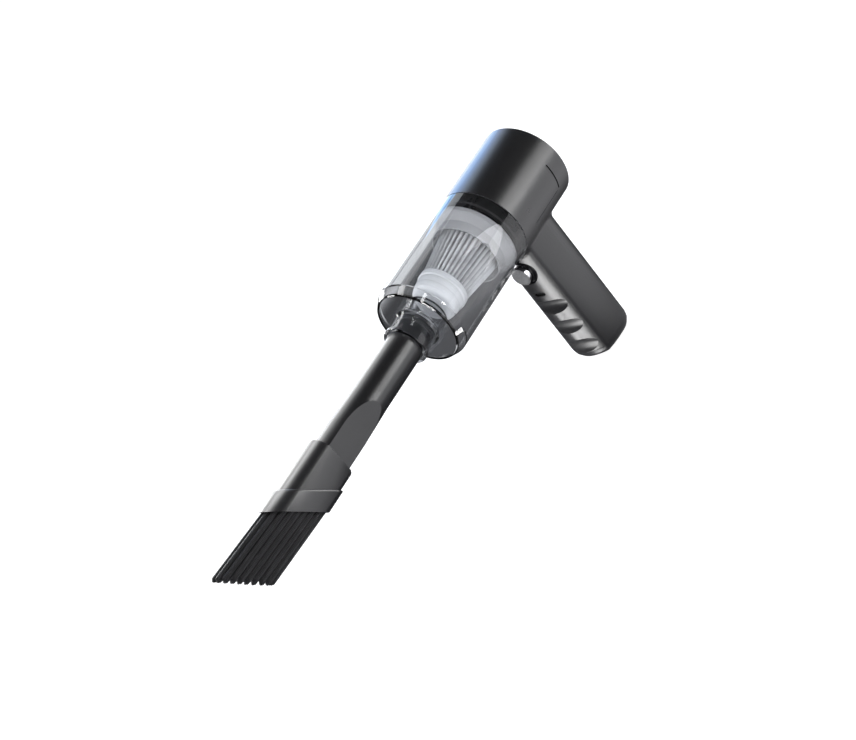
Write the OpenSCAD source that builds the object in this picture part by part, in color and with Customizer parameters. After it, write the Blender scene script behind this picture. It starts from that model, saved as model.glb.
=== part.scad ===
// Pistol-grip handheld vacuum with a clear dust cup, cone filter, crevice tool and slip-on brush.
// +X is forward, +Y is the left side, +Z is up. The origin is the centre of the rear face.

/* [Barrel] */
// Outer diameter of the motor barrel and of the dust cup
barrel_d = 63; // [60:0.5:66]
// Length of the motor barrel, from the rear face to the seam with the cup
barrel_len = 62.5; // [61.5:0.5:66]
// Wall of the housing shells
shell_wall = 2.2; // [1.8:0.1:2.6]
// Chamfer round the rear edge of the barrel
rear_chamfer = 0.8; // [0.3:0.1:1.2]
// Distance from the rear face to the decorative side slit
slit_x = 14; // [13:0.5:16]
// Width of the side slit
slit_w = 1.1; // [0.6:0.1:1.5]
// Depth of the side slit
slit_depth = 0.8; // [0.4:0.1:1.2]

/* [Handle] */
// How far the handle's front lies behind the seam with the cup
front_set = 2.5; // [2:0.25:3]
// Length of the handle below the barrel
handle_len = 95.5; // [94.5:0.5:100]
// Radius of the round back of the handle
handle_back_r = 19; // [18.6:0.1:20]
// Radius of the crowned front of the handle
handle_front_r = 25; // [24.5:0.1:26]
// Radius of the gently bowed sides of the handle
handle_side_r = 60; // [55:1:70]
// Rounding of the edge between the front and the sides
handle_edge_r = 4; // [3:0.25:5]
// Rounding of the handle's bottom end
handle_end_r = 8; // [6:0.5:9]
// Radius of the fillet between the handle and the barrel
flare_r = 4.5; // [3:0.5:5]

/* [Finger grooves] */
// Number of finger grooves
groove_count = 3; // [1:1:3]
// Drop of the middle of the top groove below the barrel
groove_drop = 44.5; // [44:0.5:46]
// Distance from one groove to the next
groove_pitch = 18.5; // [17:0.25:19]
// Radius of the scoop that makes a groove
groove_r = 6.6; // [6:0.1:7.5]
// Depth of a groove at the middle of the handle's front; the wall behind follows it
groove_depth = 3.9; // [2:0.1:4.2]

/* [Power button] */
// Drop of the button's axis below the barrel
button_drop = 12.9; // [12.5:0.1:13.9]
// Diameter of the button's cap
button_d = 14; // [13:0.25:14.5]
// How far the cap stands proud of the handle's front
button_proud = 4.3; // [3:0.1:5]
// Travel of the button
button_travel = 1.2; // [0.8:0.1:1.4]
// Outer diameter of the ring round the button
bezel_d = 19.6; // [19:0.1:20]
// Gap all round between the button and its ring
button_gap = 0.3; // [0.25:0.05:0.4]

/* [Charging port] */
// Drop of the port below the barrel
port_drop = 32.5; // [32:0.25:33.5]
// Width of the port's opening
port_w = 9; // [8.8:0.1:9.4]
// Height of the port's opening
port_h = 3.3; // [3.1:0.1:3.6]

/* [Dust cup] */
// Length of the dust cup, without its inlet socket
cup_len = 91.1; // [91:0.25:96]
// Wall of the dust cup
cup_wall = 2; // [1.6:0.1:2.2]
// Gap between the cup's rear edge and the housing
cup_gap = 0.3; // [0.25:0.05:0.4]
// Length of the bevel at the cup's front edge
cup_bevel_len = 7.1; // [5:0.1:9]
// How far the bevel comes in towards the axis
cup_bevel_in = 3.7; // [2.5:0.1:5]
// Thickness of the cup's front wall
cup_front_wall = 2.5; // [2:0.1:3]
// Outer diameter of the inlet socket
socket_d = 28; // [27.6:0.1:28.8]
// How far the inlet socket stands out of the cup's front face
socket_out = 16; // [14:0.5:18]
// How far the inlet socket reaches back inside the cup
socket_in = 12.5; // [11:0.25:12.5]
// Diameter of the rim at the socket's mouth
socket_rim_d = 30.4; // [30:0.1:32]
// Width of the rim at the socket's mouth
socket_rim_w = 2.4; // [1.5:0.1:3.5]

/* [Cup spigot] */
// Length of the band that the cup slides over
spigot_len = 10.5; // [10:0.25:11]
// Radial clearance between the band and the cup
spigot_gap = 0.3; // [0.25:0.05:0.4]
// Wall of the band
spigot_wall = 2.7; // [2.4:0.1:3]
// Depth of the latch pockets in the band
pocket_depth = 0.8; // [0.4:0.1:1]

/* [Filter] */
// Gap between the filter's flange and the wall of the cup
flange_gap = 0.5; // [0.4:0.1:1]
// Thickness of the filter's flange
flange_t = 3; // [2.5:0.25:3.5]
// How far the neck that plugs into the spigot lies inside the flange's edge
neck_inset = 7; // [6.8:0.1:7.6]
// Length of that neck
neck_len = 7; // [5:0.25:7.5]
// Distance from the flange to the start of the pleats
bell_len = 5; // [4:0.25:6]
// How far the bell's lip reaches over the pleats
bell_lip = 6.4; // [4:0.2:8]
// How far the bell's lip lies inside the flange's edge
bell_inset = 4.6; // [4:0.1:5]
// How far the large end of the pleats lies inside the flange's edge
pleat_inset = 7.75; // [7.25:0.25:8.5]
// How much the pleated cone narrows over its length, in radius
pleat_narrow = 5.5; // [4.5:0.25:6]
// Length of the pleated cone
pleat_len = 38.5; // [36:0.5:39]
// Number of pleats
pleat_count = 36; // [30:1:44]
// Depth of one pleat at the large end
pleat_depth = 2.6; // [2:0.1:3]
// Thickness of the pleated paper at the large end
paper_t = 0.8; // [0.6:0.1:1]
// Length of the filter's end cap
tip_len = 12; // [10:0.5:13]
// Wall of the filter's plastic parts
filter_wall = 1.6; // [1.2:0.1:2]

/* [Motor and impeller] */
// Diameter of the motor's can
motor_d = 36; // [34:0.5:38]
// Distance from the rear face to the motor's can
motor_x = 14; // [13.5:0.25:15]
// Diameter of the motor's shaft
shaft_d = 3.2; // [3:0.1:4]
// Diameter of the impeller
impeller_d = 44; // [40:0.5:46]
// Height of the impeller's blades
blade_h = 5.5; // [4:0.25:6]
// Number of impeller blades
blade_count = 9; // [7:1:12]
// Number of diffuser vanes
vane_count = 13; // [9:1:17]
// Running clearance round the shaft
shaft_gap = 0.05; // [0.03:0.01:0.1]

/* [Battery and board] */
// Diameter of the battery cell
cell_d = 21.2; // [18.4:0.1:21.6]
// Distance from the bottom end of the handle up to the battery cell
cell_end = 17.5; // [17:0.25:20]
// Thickness of the circuit board
board_t = 1.6; // [1:0.1:1.8]
// Width of the circuit board
board_w = 20; // [18:0.5:22]

/* [Crevice tool] */
// Outer diameter of the tool's round tube
tube_d = 24.4; // [24.2:0.1:24.8]
// Wall of the tool
tool_wall = 1.9; // [1.6:0.1:2]
// Radial clearance between the tube and the socket
tube_gap = 0.1; // [0.05:0.01:0.1]
// How deep the tube plugs into the socket
tube_in = 20.4; // [18:0.2:20.4]
// Distance from the rear face to the start of the flats
flat_x = 220; // [215:1:224]
// Length over which the flats run out into the tube
flat_run = 24; // [20:1:28]
// Thickness of the tool across its flats
flat_t = 16; // [14:0.5:17]
// Diameter across the round edges of the flattened part
flat_d = 26; // [25:0.25:26.5]
// Tilt of the mouth, as forward reach for each millimetre of height
mouth_slope = 0.86; // [0.6:0.02:1]

/* [Brush] */
// Distance from the rear face to the rear edge of the brush's sleeve
sleeve_x = 264.5; // [262:0.5:267]
// Clearance between the sleeve and the tool
sleeve_gap = 0.3; // [0.25:0.05:0.4]
// Wall of the sleeve on its flat sides
sleeve_wall = 1.1; // [1:0.1:1.6]
// Half height of the sleeve
sleeve_half_h = 16.7; // [16:0.1:18]
// Distance from the rear face to the band at the sleeve's front, at the height of the axis
band_x = 290; // [288:0.5:293]
// Length of the band
band_len = 17.5; // [15.5:0.5:19]
// How far the band stands proud of the sleeve
band_proud = 1.5; // [1:0.1:1.8]
// Diameter of one bristle tuft
tuft_d = 3.6; // [3.2:0.1:3.8]
// Number of tufts round the mouth
tuft_count = 20; // [16:1:21]
// Length of the tufts beyond the mouth
tuft_len = 57.5; // [40:0.5:60]
// How far the tufts splay outwards over their length, in degrees
tuft_splay = 0.3; // [0:0.1:1]
// How far all the tufts lean upwards, in degrees
tuft_lean = 2.8; // [0:0.1:3]
// How deep the tufts stand inside the band
tuft_root = 4; // [3:0.5:5]

/* [Hidden] */

$fn = 96;
eps = 0.01;
big = 400;

charcoal = [0.17, 0.17, 0.18];
near_black = [0.07, 0.07, 0.08];
smoke = [0.75, 0.78, 0.82, 0.35];
frosted = [0.86, 0.88, 0.88, 0.8];
paper_grey = [0.6, 0.61, 0.61];
steel = [0.72, 0.73, 0.75];
chrome = [0.85, 0.85, 0.87];
board_green = [0.1, 0.35, 0.2];
copper = [0.75, 0.4, 0.2];

barrel_r = barrel_d / 2;
bore_r = barrel_r - shell_wall;
fit_gap = 0.1;
seat_gap = 0.05;
front_x = barrel_len - front_set;
handle_x = front_x - handle_front_r;
handle_drop = barrel_r + handle_len;
groove_top_z = barrel_r + groove_drop;
button_z = barrel_r + button_drop;
port_z = barrel_r + port_drop;
flange_r = barrel_r - cup_wall - flange_gap;
neck_r = flange_r - neck_inset;
pleat_r1 = flange_r - pleat_inset;

// A solid of revolution round the X axis; each point is [radius, x].
module turned(points) {
    rotate([0, 90, 0]) rotate_extrude() polygon(points);
}

// A cylinder along X from x0 to x1.
module rod(r, x0, x1, r1 = -1) {
    translate([x0, 0, 0]) rotate([0, 90, 0])
        cylinder(r1 = r, r2 = r1 < 0 ? r : r1, h = x1 - x0);
}

// A ring along X from x0 to x1.
module ring(ro, ri, x0, x1) {
    turned([[ri, x0], [ro, x0], [ro, x1], [ri, x1]]);
}

// ---------------------------------------------------------------- handle section

// The handle's section: a round back, bowed sides and a crowned front with eased edges.
// The outline is pulled in by "inset", and its facets are set by $fn.
side_cy = handle_side_r - handle_back_r;
edge_v = (pow(handle_side_r - handle_edge_r, 2) - pow(handle_front_r - handle_edge_r, 2)
          - side_cy * side_cy) / (2 * side_cy);
edge_u = sqrt(pow(handle_front_r - handle_edge_r, 2) - edge_v * edge_v);

// Point on a ray from the crown's centre through the edge's centre, and one from the side's centre.
function crown_touch(r) = [edge_u, edge_v] * (handle_front_r - r) / (handle_front_r - handle_edge_r);
function side_touch(r) = [edge_u, edge_v + side_cy] * (handle_side_r - r)
                         / (handle_side_r - handle_edge_r) - [0, side_cy];

module handle_section(inset = 0) {
    front_r = handle_front_r - inset;
    side_r = handle_side_r - inset;
    corner = crown_touch(inset);
    flank = side_touch(inset);
    translate([handle_x, 0]) {
        circle(r = handle_back_r - inset);
        intersection() {
            circle(r = front_r);
            translate([0, -side_cy]) circle(r = side_r);
            translate([0, side_cy]) circle(r = side_r);
            polygon([[0, -front_r], [0, front_r], flank, corner, [front_r + 1, corner[1]],
                     [front_r + 1, -corner[1]], [corner[0], -corner[1]], [flank[0], -flank[1]]]);
        }
        for (s = [-1, 1]) translate([edge_u, s * edge_v]) circle(r = handle_edge_r - inset);
    }
}

// One thin slice of the handle, as a step of a loft.
module handle_slice(z, inset) {
    translate([0, 0, z]) linear_extrude(eps) handle_section(inset, $fn = 64);
}

// The handle as a solid with a rounded bottom end.
module handle_solid(top_z, inset) {
    end_z = -handle_drop + inset;
    round_r = handle_end_r - inset / 2;
    translate([0, 0, end_z + round_r])
        linear_extrude(top_z - end_z - round_r) handle_section(inset);
    hull() for (a = [0, 22, 45, 68, 90])
        handle_slice(end_z + round_r * (1 - sin(a)), inset + round_r * (1 - cos(a)));
}

// Points of the handle's outline, each with its outward normal, anticlockwise from the crown.
function arc_points(c, r, from, to, n) = [for (i = [0 : n - 1])
    let (a = from + (to - from) * i / n) [c[0] + r * cos(a), c[1] + r * sin(a), cos(a), sin(a)]];

crown_half = atan2(edge_v, edge_u);
flank_start = atan2(edge_v + side_cy, edge_u);
handle_outline = concat(
    arc_points([0, 0], handle_front_r, -crown_half, crown_half, 11),
    arc_points([edge_u, edge_v], handle_edge_r, crown_half, flank_start, 3),
    arc_points([0, -side_cy], handle_side_r, flank_start, 90, 6),
    arc_points([0, 0], handle_back_r, 90, 270, 23),
    arc_points([0, side_cy], handle_side_r, 270, 360 - flank_start, 6),
    arc_points([edge_u, -edge_v], handle_edge_r, 360 - flank_start, 360 - crown_half, 3));

// The fillet where the handle grows out of the barrel: a ball of radius flare_r rolls round the
// handle, touching its wall and the barrel. At the front the ball is small enough to stay behind
// the seam.
flare_steps = 6;
flare_sink = 0.03;
flare_root = 1.2;
function flare_ball(p) =
    let (room = barrel_len - 0.4 - handle_x - p[0])
    p[2] > 0.05 ? min(flare_r, room / p[2]) : flare_r;
function flare_ring(p, step) =
    let (r = flare_ball(p), cy = p[1] + p[3] * r,
         cz = -sqrt(pow(barrel_r + r, 2) - cy * cy),
         wall = [-p[2], -p[3], 0],
         barrel = [0, -cy, -cz] / (barrel_r + r),
         mix = wall * cos(90 * step) + barrel * sin(90 * step))
    [handle_x + p[0] + p[2] * r, cy, cz] + mix * (r + flare_sink) / norm(mix);
function flare_root_point(p, at_wall) =
    let (q = flare_ring(p, at_wall ? 0 : 1))
    [q[0] - p[2] * flare_root, q[1] - p[3] * flare_root, q[2] + (at_wall ? 0 : flare_root)];

module handle_flare() {
    n = len(handle_outline);
    rings = concat(
        [for (k = [0 : flare_steps]) [for (p = handle_outline) flare_ring(p, k / flare_steps)]],
        [[for (p = handle_outline) flare_root_point(p, false)]],
        [[for (p = handle_outline) flare_root_point(p, true)]]);
    m = len(rings);
    polyhedron([for (ring_points = rings) each ring_points],
               [for (k = [0 : m - 1], i = [0 : n - 1])
                   let (j = (i + 1) % n, l = (k + 1) % m)
                   each [[k * n + i, l * n + i, k * n + j], [k * n + j, l * n + i, l * n + j]]]);
}

// ---------------------------------------------------------------- housing shells

grille_t = 2.4;
lip_len = 1.4;
lip_in = 1.5;
screw_d = 2.6;
boss_d = 6.4;
head_d = 5;
head_h = 1.8;
screw_len = 14;
pilot_depth = 9;

// Screw places as [x, z]: two in the barrel, one in the handle's neck and one at its end.
boss_to_wall = 0.6;
barrel_boss_x = grille_t + lip_len + boss_d / 2 + 0.4;
barrel_boss_z = bore_r - boss_d / 2 - boss_to_wall;
neck_boss_x = handle_x - handle_back_r / 2 - 0.5;
neck_boss_z = -barrel_r - boss_d / 2 + boss_to_wall;
end_boss_z = -handle_drop + shell_wall + boss_d / 2 + 0.8;
screw_places = [
    [barrel_boss_x, barrel_boss_z],
    [barrel_boss_x, -barrel_boss_z],
    [neck_boss_x, neck_boss_z],
    [handle_x, end_boss_z]];

module housing_outer() {
    turned([[0, 0], [barrel_r - rear_chamfer, 0], [barrel_r, rear_chamfer],
            [barrel_r, barrel_len], [0, barrel_len]]);
    difference() {
        union() {
            handle_solid(-barrel_r / 2, 0);
            handle_flare();
        }
        rod(barrel_r - shell_wall / 2, -eps, barrel_len);
    }
}

// The scoops for the fingers, or the inner wall behind them when grown by "grow".
module finger_scoops(grow = 0) {
    for (i = [0 : groove_count - 1])
        translate([front_x + groove_r - groove_depth, 0, -groove_top_z - i * groove_pitch])
            rotate([90, 0, 0]) cylinder(r = groove_r + grow, h = big, center = true);
}

module housing_cavity() {
    rod(bore_r, -1, barrel_len + 1);
    difference() {
        handle_solid(-barrel_r / 2, shell_wall);
        rod(barrel_r, -1, barrel_len + 1);
        finger_scoops(shell_wall);
    }
    translate([wire_hole_x, 0, -barrel_r - 1]) cylinder(d = wire_hole_d, h = barrel_r / 2);
}

// The screw bosses run across the shells and end inside their walls.
boss_inset = shell_wall - 0.25;
module boss_bodies() {
    intersection() {
        union() {
            rod(bore_r + boss_inset / 2, 0.5, barrel_len - 0.5);
            translate([0, 0, -handle_drop + 1])
                linear_extrude(handle_drop - bore_r - 1) handle_section(boss_inset);
        }
        for (p = screw_places) translate([p[0], 0, p[1]])
            rotate([90, 0, 0]) cylinder(d = boss_d, h = 2 * barrel_d, center = true, $fn = 32);
    }
}

// Slit and parting line on both sides of the barrel.
slit_from = -27;
slit_to = 9;
line_w = 0.4;
line_depth = 0.3;
line_from = slit_x + 3;
line_to = barrel_len - 14.5;
cut_out = 2;
module side_slits() {
    for (m = [0, 1]) mirror([0, m, 0]) {
        rotate([90 + slit_from, 0, 0]) rotate([0, 90, 0])
            rotate_extrude(angle = slit_to - slit_from)
                translate([barrel_r - slit_depth, slit_x]) square([slit_depth + cut_out, slit_w]);
        rotate([slit_from - 1, 0, 0])
            translate([line_from, barrel_r - line_depth, -line_w / 2])
                cube([line_to - line_from, line_depth + cut_out, line_w]);
    }
}

// Both shells together, before they are parted at y = 0.
module housing_whole() {
    difference() {
        union() {
            difference() {
                housing_outer();
                housing_cavity();
            }
            ring(bore_r + eps, bore_r - lip_in, grille_t, grille_t + lip_len);
            boss_bodies();
        }
        finger_scoops();
        side_slits();
        translate([0, 0, -button_z]) {
            rod(bezel_d / 2 + seat_gap, bezel_back, big / 2);
            rod(button_d / 2 + button_room, board_x - eps, front_x);
        }
        port_plug(fit_gap, port_back - 1, front_x + 1);
        cup_seam_step();
    }
}

// The recess inside the barrel's front edge that takes the spigot's root.
seam_step = 6.5;
module cup_seam_step() {
    rod(bore_r, barrel_len - seam_step, barrel_len + 1);
}

module half_space(left) {
    translate([-big / 2, left ? 0 : -big, -big / 2]) cube([big, big, big]);
}

module housing_left() {
    color(charcoal) difference() {
        intersection() {
            housing_whole();
            half_space(true);
        }
        for (p = screw_places) translate([p[0], -eps, p[1]])
            rotate([-90, 0, 0]) cylinder(d = screw_d, h = pilot_depth, $fn = 32);
    }
}

module housing_right() {
    color(charcoal) difference() {
        intersection() {
            housing_whole();
            half_space(false);
        }
        for (p = screw_places) translate([p[0], eps, p[1]]) rotate([90, 0, 0]) {
            cylinder(d = screw_d + 2 * fit_gap, h = big / 2, $fn = 32);
            translate([0, 0, head_seat]) cylinder(d = head_d + 4 * fit_gap, h = big / 2, $fn = 32);
        }
    }
}

head_seat = screw_len - pilot_depth + 0.5;
pilot_spare = 0.8;
cross_len = 3;
cross_w = 0.7;
cross_depth = 1;
module housing_screws() {
    color(steel) for (p = screw_places) translate([p[0], -head_seat, p[1]]) {
        rotate([-90, 0, 0]) cylinder(d = screw_d, h = head_seat + pilot_depth - pilot_spare, $fn = 32);
        rotate([90, 0, 0]) difference() {
            cylinder(d = head_d, h = head_h, $fn = 32);
            translate([0, 0, head_h - cross_depth]) for (a = [0, 90]) rotate(a)
                translate([-cross_len / 2, -cross_w / 2, 0]) cube([cross_len, cross_w, cross_depth + eps]);
        }
    }
}

// ---------------------------------------------------------------- rear grille

// The exhaust grille: rings of slots, each ring turned a little against the one inside it.
grille_rings = 4;
grille_spokes = 12;
grille_hub_r = 6;
grille_rim = 3;
grille_edge = 0.6;
spoke_w = 1.8;
spoke_turn = 15;
slot_from = 0.3;
slot_to = 0.85;
module rear_grille() {
    grille_r = bore_r - fit_gap;
    slot_band = (grille_r - grille_hub_r - grille_rim) / grille_rings;
    color(near_black) difference() {
        turned([[0, 0], [grille_r - grille_edge, 0], [grille_r, grille_edge], [grille_r, grille_t],
                [0, grille_t]]);
        for (k = [0 : grille_rings - 1])
            difference() {
                ring(grille_hub_r + (k + slot_to) * slot_band, grille_hub_r + (k + slot_from) * slot_band,
                     -1, grille_t + 1);
                for (i = [0 : grille_spokes / 2 - 1])
                    rotate([360 * i / grille_spokes + spoke_turn * k, 0, 0])
                        translate([-1, -big / 2, -spoke_w / 2]) cube([grille_t + 2, big, spoke_w]);
            }
    }
}

// ---------------------------------------------------------------- cup spigot

// The band, its root inside the barrel, and the web whose collar takes the filter's neck.
spigot_r = barrel_r - cup_wall - spigot_gap;
spigot_front = barrel_len + spigot_len;
web_x = barrel_len + 1.5;
web_t = 2.2;
collar_wall = 1.8;
collar_r = neck_r + fit_gap;
collar_set = 0.6;
guard_ring_r = neck_r / 2;
guard_bar = 1.6;
seal_section = 1.6;
seal_x0 = spigot_front - 3.4;
seal_x1 = seal_x0 + seal_section;
seal_seat_r = spigot_r - 1.1;
pocket_w = 3.4;
pocket_x = barrel_len + 1.9;
pocket_arcs = [[9, 16], [-9, 4]];
module cup_spigot() {
    color(near_black) {
        difference() {
            union() {
                ring(spigot_r, spigot_r - spigot_wall, barrel_len, spigot_front);
                ring(bore_r - fit_gap, bore_r - spigot_wall, barrel_len - seam_step, barrel_len + eps);
                ring(spigot_r - spigot_wall + eps, collar_r, web_x, web_x + web_t);
                ring(collar_r + collar_wall, collar_r, web_x, spigot_front - collar_set);
            }
            for (m = [0, 1], arc = pocket_arcs) mirror([0, m, 0]) latch_pocket(arc[0], arc[1]);
            ring(barrel_r, seal_seat_r, seal_x0, seal_x1);
        }
        ring(guard_ring_r + guard_bar / 2, guard_ring_r - guard_bar / 2, web_x, web_x + guard_bar);
        difference() {
            for (a = [0, 60, 120]) rotate([a, 0, 0])
                translate([web_x, -collar_r - eps, -guard_bar / 2])
                    cube([guard_bar, 2 * (collar_r + eps), guard_bar]);
            rod(guard_ring_r - guard_bar / 2, web_x - 1, web_x + guard_bar + 1);
        }
    }
}

// A shallow pocket in the band, from one angle to the other.
module latch_pocket(from, to) {
    rotate([90 - from, 0, 0]) rotate([0, 90, 0]) rotate_extrude(angle = to - from)
        translate([spigot_r - pocket_depth, pocket_x]) square([pocket_depth + cut_out, pocket_w]);
}

module cup_seal() {
    color(near_black) ring(spigot_r + spigot_gap - fit_gap, seal_seat_r, seal_x0, seal_x1);
}

// ---------------------------------------------------------------- motor and fan

// From the cup's end backwards: shroud, impeller, diffuser, motor. Each keeps its place by the next.
shroud_wall = 1.4;
shroud_r = bore_r - fit_gap;
shroud_front = barrel_len - seam_step - 0.4;
eye_r = 13;
eye_lip = 2.6;
blade_gap = 1.2;
plate_t = 1.2;
plate_gap = 0.5;
vane_len = 3;
diffuser_t = 1.6;
blade_front = shroud_front - eye_lip - blade_gap;
plate_x = blade_front - blade_h - plate_t;
diffuser_front = plate_x - plate_gap;
diffuser_x = diffuser_front - vane_len - diffuser_t;

motor_r = motor_d / 2;
motor_front = diffuser_x;
motor_edge = 1;
shaft_room = 0.6;
bearing_d = 9;
bearing_w = 3;
vent_count = 6;
vent_w = 3;
vent_len = 12;
vent_from = 6;
vent_depth = 1.5;
module motor_can() {
    color(steel) difference() {
        turned([[0, motor_x], [motor_r, motor_x], [motor_r, motor_front - motor_edge],
                [motor_r - motor_edge, motor_front], [0, motor_front]]);
        rod(shaft_d / 2 + shaft_room, motor_x - 1, motor_front + 1);
        rod(bearing_d / 2, motor_x - 1, motor_x + bearing_w);
        rod(bearing_d / 2, motor_front - bearing_w, motor_front + 1);
        for (i = [0 : vent_count - 1]) rotate([360 * (i + 0.5) / vent_count, 0, 0])
            translate([motor_x + vent_from, 0, motor_r - vent_depth]) linear_extrude(vent_depth + cut_out) {
                for (x = [0, vent_len]) translate([x, 0]) circle(d = vent_w, $fn = 24);
                translate([0, -vent_w / 2]) square([vent_len, vent_w]);
            }
    }
}

// The plastic end that closes the can, with the motor's two terminals.
bell_t = 3;
bell_r = motor_r - 1;
bell_edge = 2;
bell_hole_r = bearing_d / 2 + 1;
bell_rear = motor_x - bell_t;
terminal_len = 2.6;
terminal_w = 2.4;
terminal_t = 0.8;
terminal_y = 3;
terminal_z = -motor_r * 0.64;
module motor_end_bell() {
    color(near_black) {
        turned([[bell_hole_r, bell_rear], [bell_r - bell_edge, bell_rear],
                [bell_r, bell_rear + bell_edge], [bell_r, motor_x], [bell_hole_r, motor_x]]);
        for (s = [-1, 1])
            translate([bell_rear - terminal_len, s * terminal_y - terminal_w / 2, terminal_z])
                cube([terminal_len + eps, terminal_w, terminal_t]);
    }
}

// The spider that carries the motor in the barrel and lets the air past it.
mount_x = motor_x + vent_from;
mount_len = 5;
mount_arms = 6;
mount_wall = 1.8;
arm_w = 2;
module motor_mount() {
    arm_r = bore_r - mount_wall / 2;
    color(near_black) translate([mount_x, 0, 0]) rotate([0, 90, 0]) linear_extrude(mount_len) {
        flat_ring(motor_r + mount_wall, motor_r + seat_gap);
        flat_ring(bore_r, bore_r - mount_wall);
        difference() {
            for (i = [0 : mount_arms / 2 - 1]) rotate(360 * i / mount_arms)
                square([arm_w, 2 * arm_r], center = true);
            circle(r = motor_r + mount_wall / 2);
        }
    }
}

module flat_ring(ro, ri) {
    difference() {
        circle(r = ro);
        circle(r = ri);
    }
}

module shaft_bearings() {
    color(steel) for (x = [motor_x, motor_front - bearing_w])
        ring(bearing_d / 2, shaft_d / 2 + shaft_gap, x, x + bearing_w);
}

// The diffuser's disc carries the front of the motor and holds its vanes behind the impeller.
vane_w = 1;
vane_tilt = 35;
diffuser_ring_r = shroud_r - shroud_wall;
disc_r = impeller_d / 2;
module diffuser() {
    vane_root = disc_r - vane_w;
    color(near_black) {
        ring(disc_r, bell_hole_r, diffuser_x, diffuser_x + diffuser_t);
        ring(diffuser_ring_r - eps, diffuser_ring_r - shroud_wall, diffuser_x, diffuser_front);
        intersection() {
            for (i = [0 : vane_count - 1]) rotate([360 * i / vane_count, 0, 0])
                translate([diffuser_x, 0, vane_root]) rotate([vane_tilt, 0, 0])
                    translate([0, -vane_w / 2, 0])
                        cube([vane_len + diffuser_t, vane_w, barrel_r]);
            rod(diffuser_ring_r - shroud_wall / 2, diffuser_x - 1, diffuser_front + 1);
        }
    }
}

module fan_shroud() {
    color(near_black) turned([
        [diffuser_ring_r, diffuser_x], [shroud_r, diffuser_x], [shroud_r, shroud_front],
        [eye_r, shroud_front], [eye_r, shroud_front - eye_lip],
        [eye_r + shroud_wall, shroud_front - eye_lip],
        [eye_r + shroud_wall, shroud_front - shroud_wall],
        [diffuser_ring_r, shroud_front - shroud_wall]]);
}

// The impeller's blades are half arcs that curve back from its hub to its rim.
hub_d = 9;
hub_x = blade_front + 0.1;
blade_t = 0.9;
blade_set = 1.5;
module impeller() {
    blade_r = impeller_d / 4;
    color(charcoal) difference() {
        union() {
            rod(impeller_d / 2, plate_x, plate_x + plate_t);
            rod(hub_d / 2, plate_x, hub_x);
            intersection() {
                for (i = [0 : blade_count - 1]) rotate([360 * i / blade_count, 0, 0])
                    translate([plate_x + plate_t - eps, 0, blade_r + blade_set])
                        rotate([0, 90, 0]) linear_extrude(blade_h) difference() {
                            circle(r = blade_r);
                            circle(r = blade_r - blade_t);
                            translate([-big / 2, 0]) square([big, big]);
                        }
                rod((impeller_d - plate_gap) / 2, plate_x, hub_x);
            }
        }
        rod(shaft_d / 2, plate_x - 1, hub_x + 1);
    }
}

shaft_rear = motor_x - 1;
shaft_edge = 0.3;
shaft_out = 0.6;
nut_t = 2.4;
nut_d = 6.4;
shaft_front = hub_x + nut_t + shaft_out;
module motor_shaft() {
    shaft_r = shaft_d / 2;
    color(steel) turned([[0, shaft_rear], [shaft_r - shaft_edge, shaft_rear],
                         [shaft_r, shaft_rear + shaft_edge], [shaft_r, shaft_front - shaft_edge],
                         [shaft_r - shaft_edge, shaft_front], [0, shaft_front]]);
}

module impeller_nut() {
    color(steel) translate([hub_x, 0, 0]) rotate([0, 90, 0]) difference() {
        cylinder(d = nut_d, h = nut_t, $fn = 6);
        translate([0, 0, -1]) cylinder(d = shaft_d, h = nut_t + 2);
    }
}

// ---------------------------------------------------------------- battery and electronics

// The board stands behind the button and the port, and the cell stands behind the board.
board_back = 13;
cell_to_board = 3.4;
board_x = front_x - board_back;
cell_r = cell_d / 2;
cell_x = board_x - cell_to_board - cell_r;
holder_t = 2;
holder_depth = 5;
holder_lip = 1.6;
cell_top = -barrel_r - boss_d - holder_t - holder_lip;
cell_bottom = -handle_drop + cell_end;
cell_len = cell_top - cell_bottom;
cell_tip_d = 8;
cell_tip_h = 0.8;
module battery_cell() {
    color("royalblue") translate([cell_x, 0, cell_bottom]) {
        cylinder(d = cell_d, h = cell_len - cell_tip_h);
        translate([0, 0, cell_len - cell_tip_h - eps]) cylinder(d = cell_tip_d, h = cell_tip_h + eps);
    }
}

// Two cradles that span the handle and cap the ends of the cell.
module battery_holder() {
    holder_h = holder_t + holder_depth;
    color(near_black) for (z = [cell_top - holder_depth, cell_bottom - holder_t])
        difference() {
            translate([0, 0, z]) linear_extrude(holder_h) intersection() {
                handle_section(shell_wall + seat_gap);
                translate([cell_x + cell_r + holder_lip - big, -big / 2]) square([big, big]);
            }
            translate([cell_x, 0, cell_bottom]) cylinder(r = cell_r + seat_gap, h = cell_len);
        }
}

// The board, with its parts on the side that faces the cell; each place is [y, depth below the top].
board_len = 38;
board_top = -barrel_r - boss_d - 0.8;
chip_w = 4.6;
chip_t = 1.4;
chip_places = [[-7, 8], [2.5, 9], [-6, 32], [3, 33]];
module control_board() {
    color(board_green) translate([board_x, -board_w / 2, board_top - board_len])
        cube([board_t, board_w, board_len]);
    color(near_black) for (p = chip_places)
        translate([board_x - chip_t, p[0], board_top - p[1]]) cube([chip_t + eps, chip_w, chip_w]);
}

port_depth = 7.3;
port_set = 0.25;
port_wall = 0.35;
port_floor = 1;
port_front = front_x - port_set;
port_back = port_front - port_depth;
port_tongue_w = 6.6;
port_tongue_t = 0.7;
port_base_w = 10;
port_base_h = 4.4;

// The port's outline, grown by "grow", from x0 to x1.
module port_plug(grow, x0, x1) {
    r = port_h / 2 + grow;
    translate([x0, 0, -port_z]) rotate([0, 90, 0]) linear_extrude(x1 - x0) {
        for (s = [-1, 1]) translate([0, s * (port_w - port_h) / 2]) circle(r = r);
        square([2 * r, port_w - port_h], center = true);
    }
}

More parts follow.
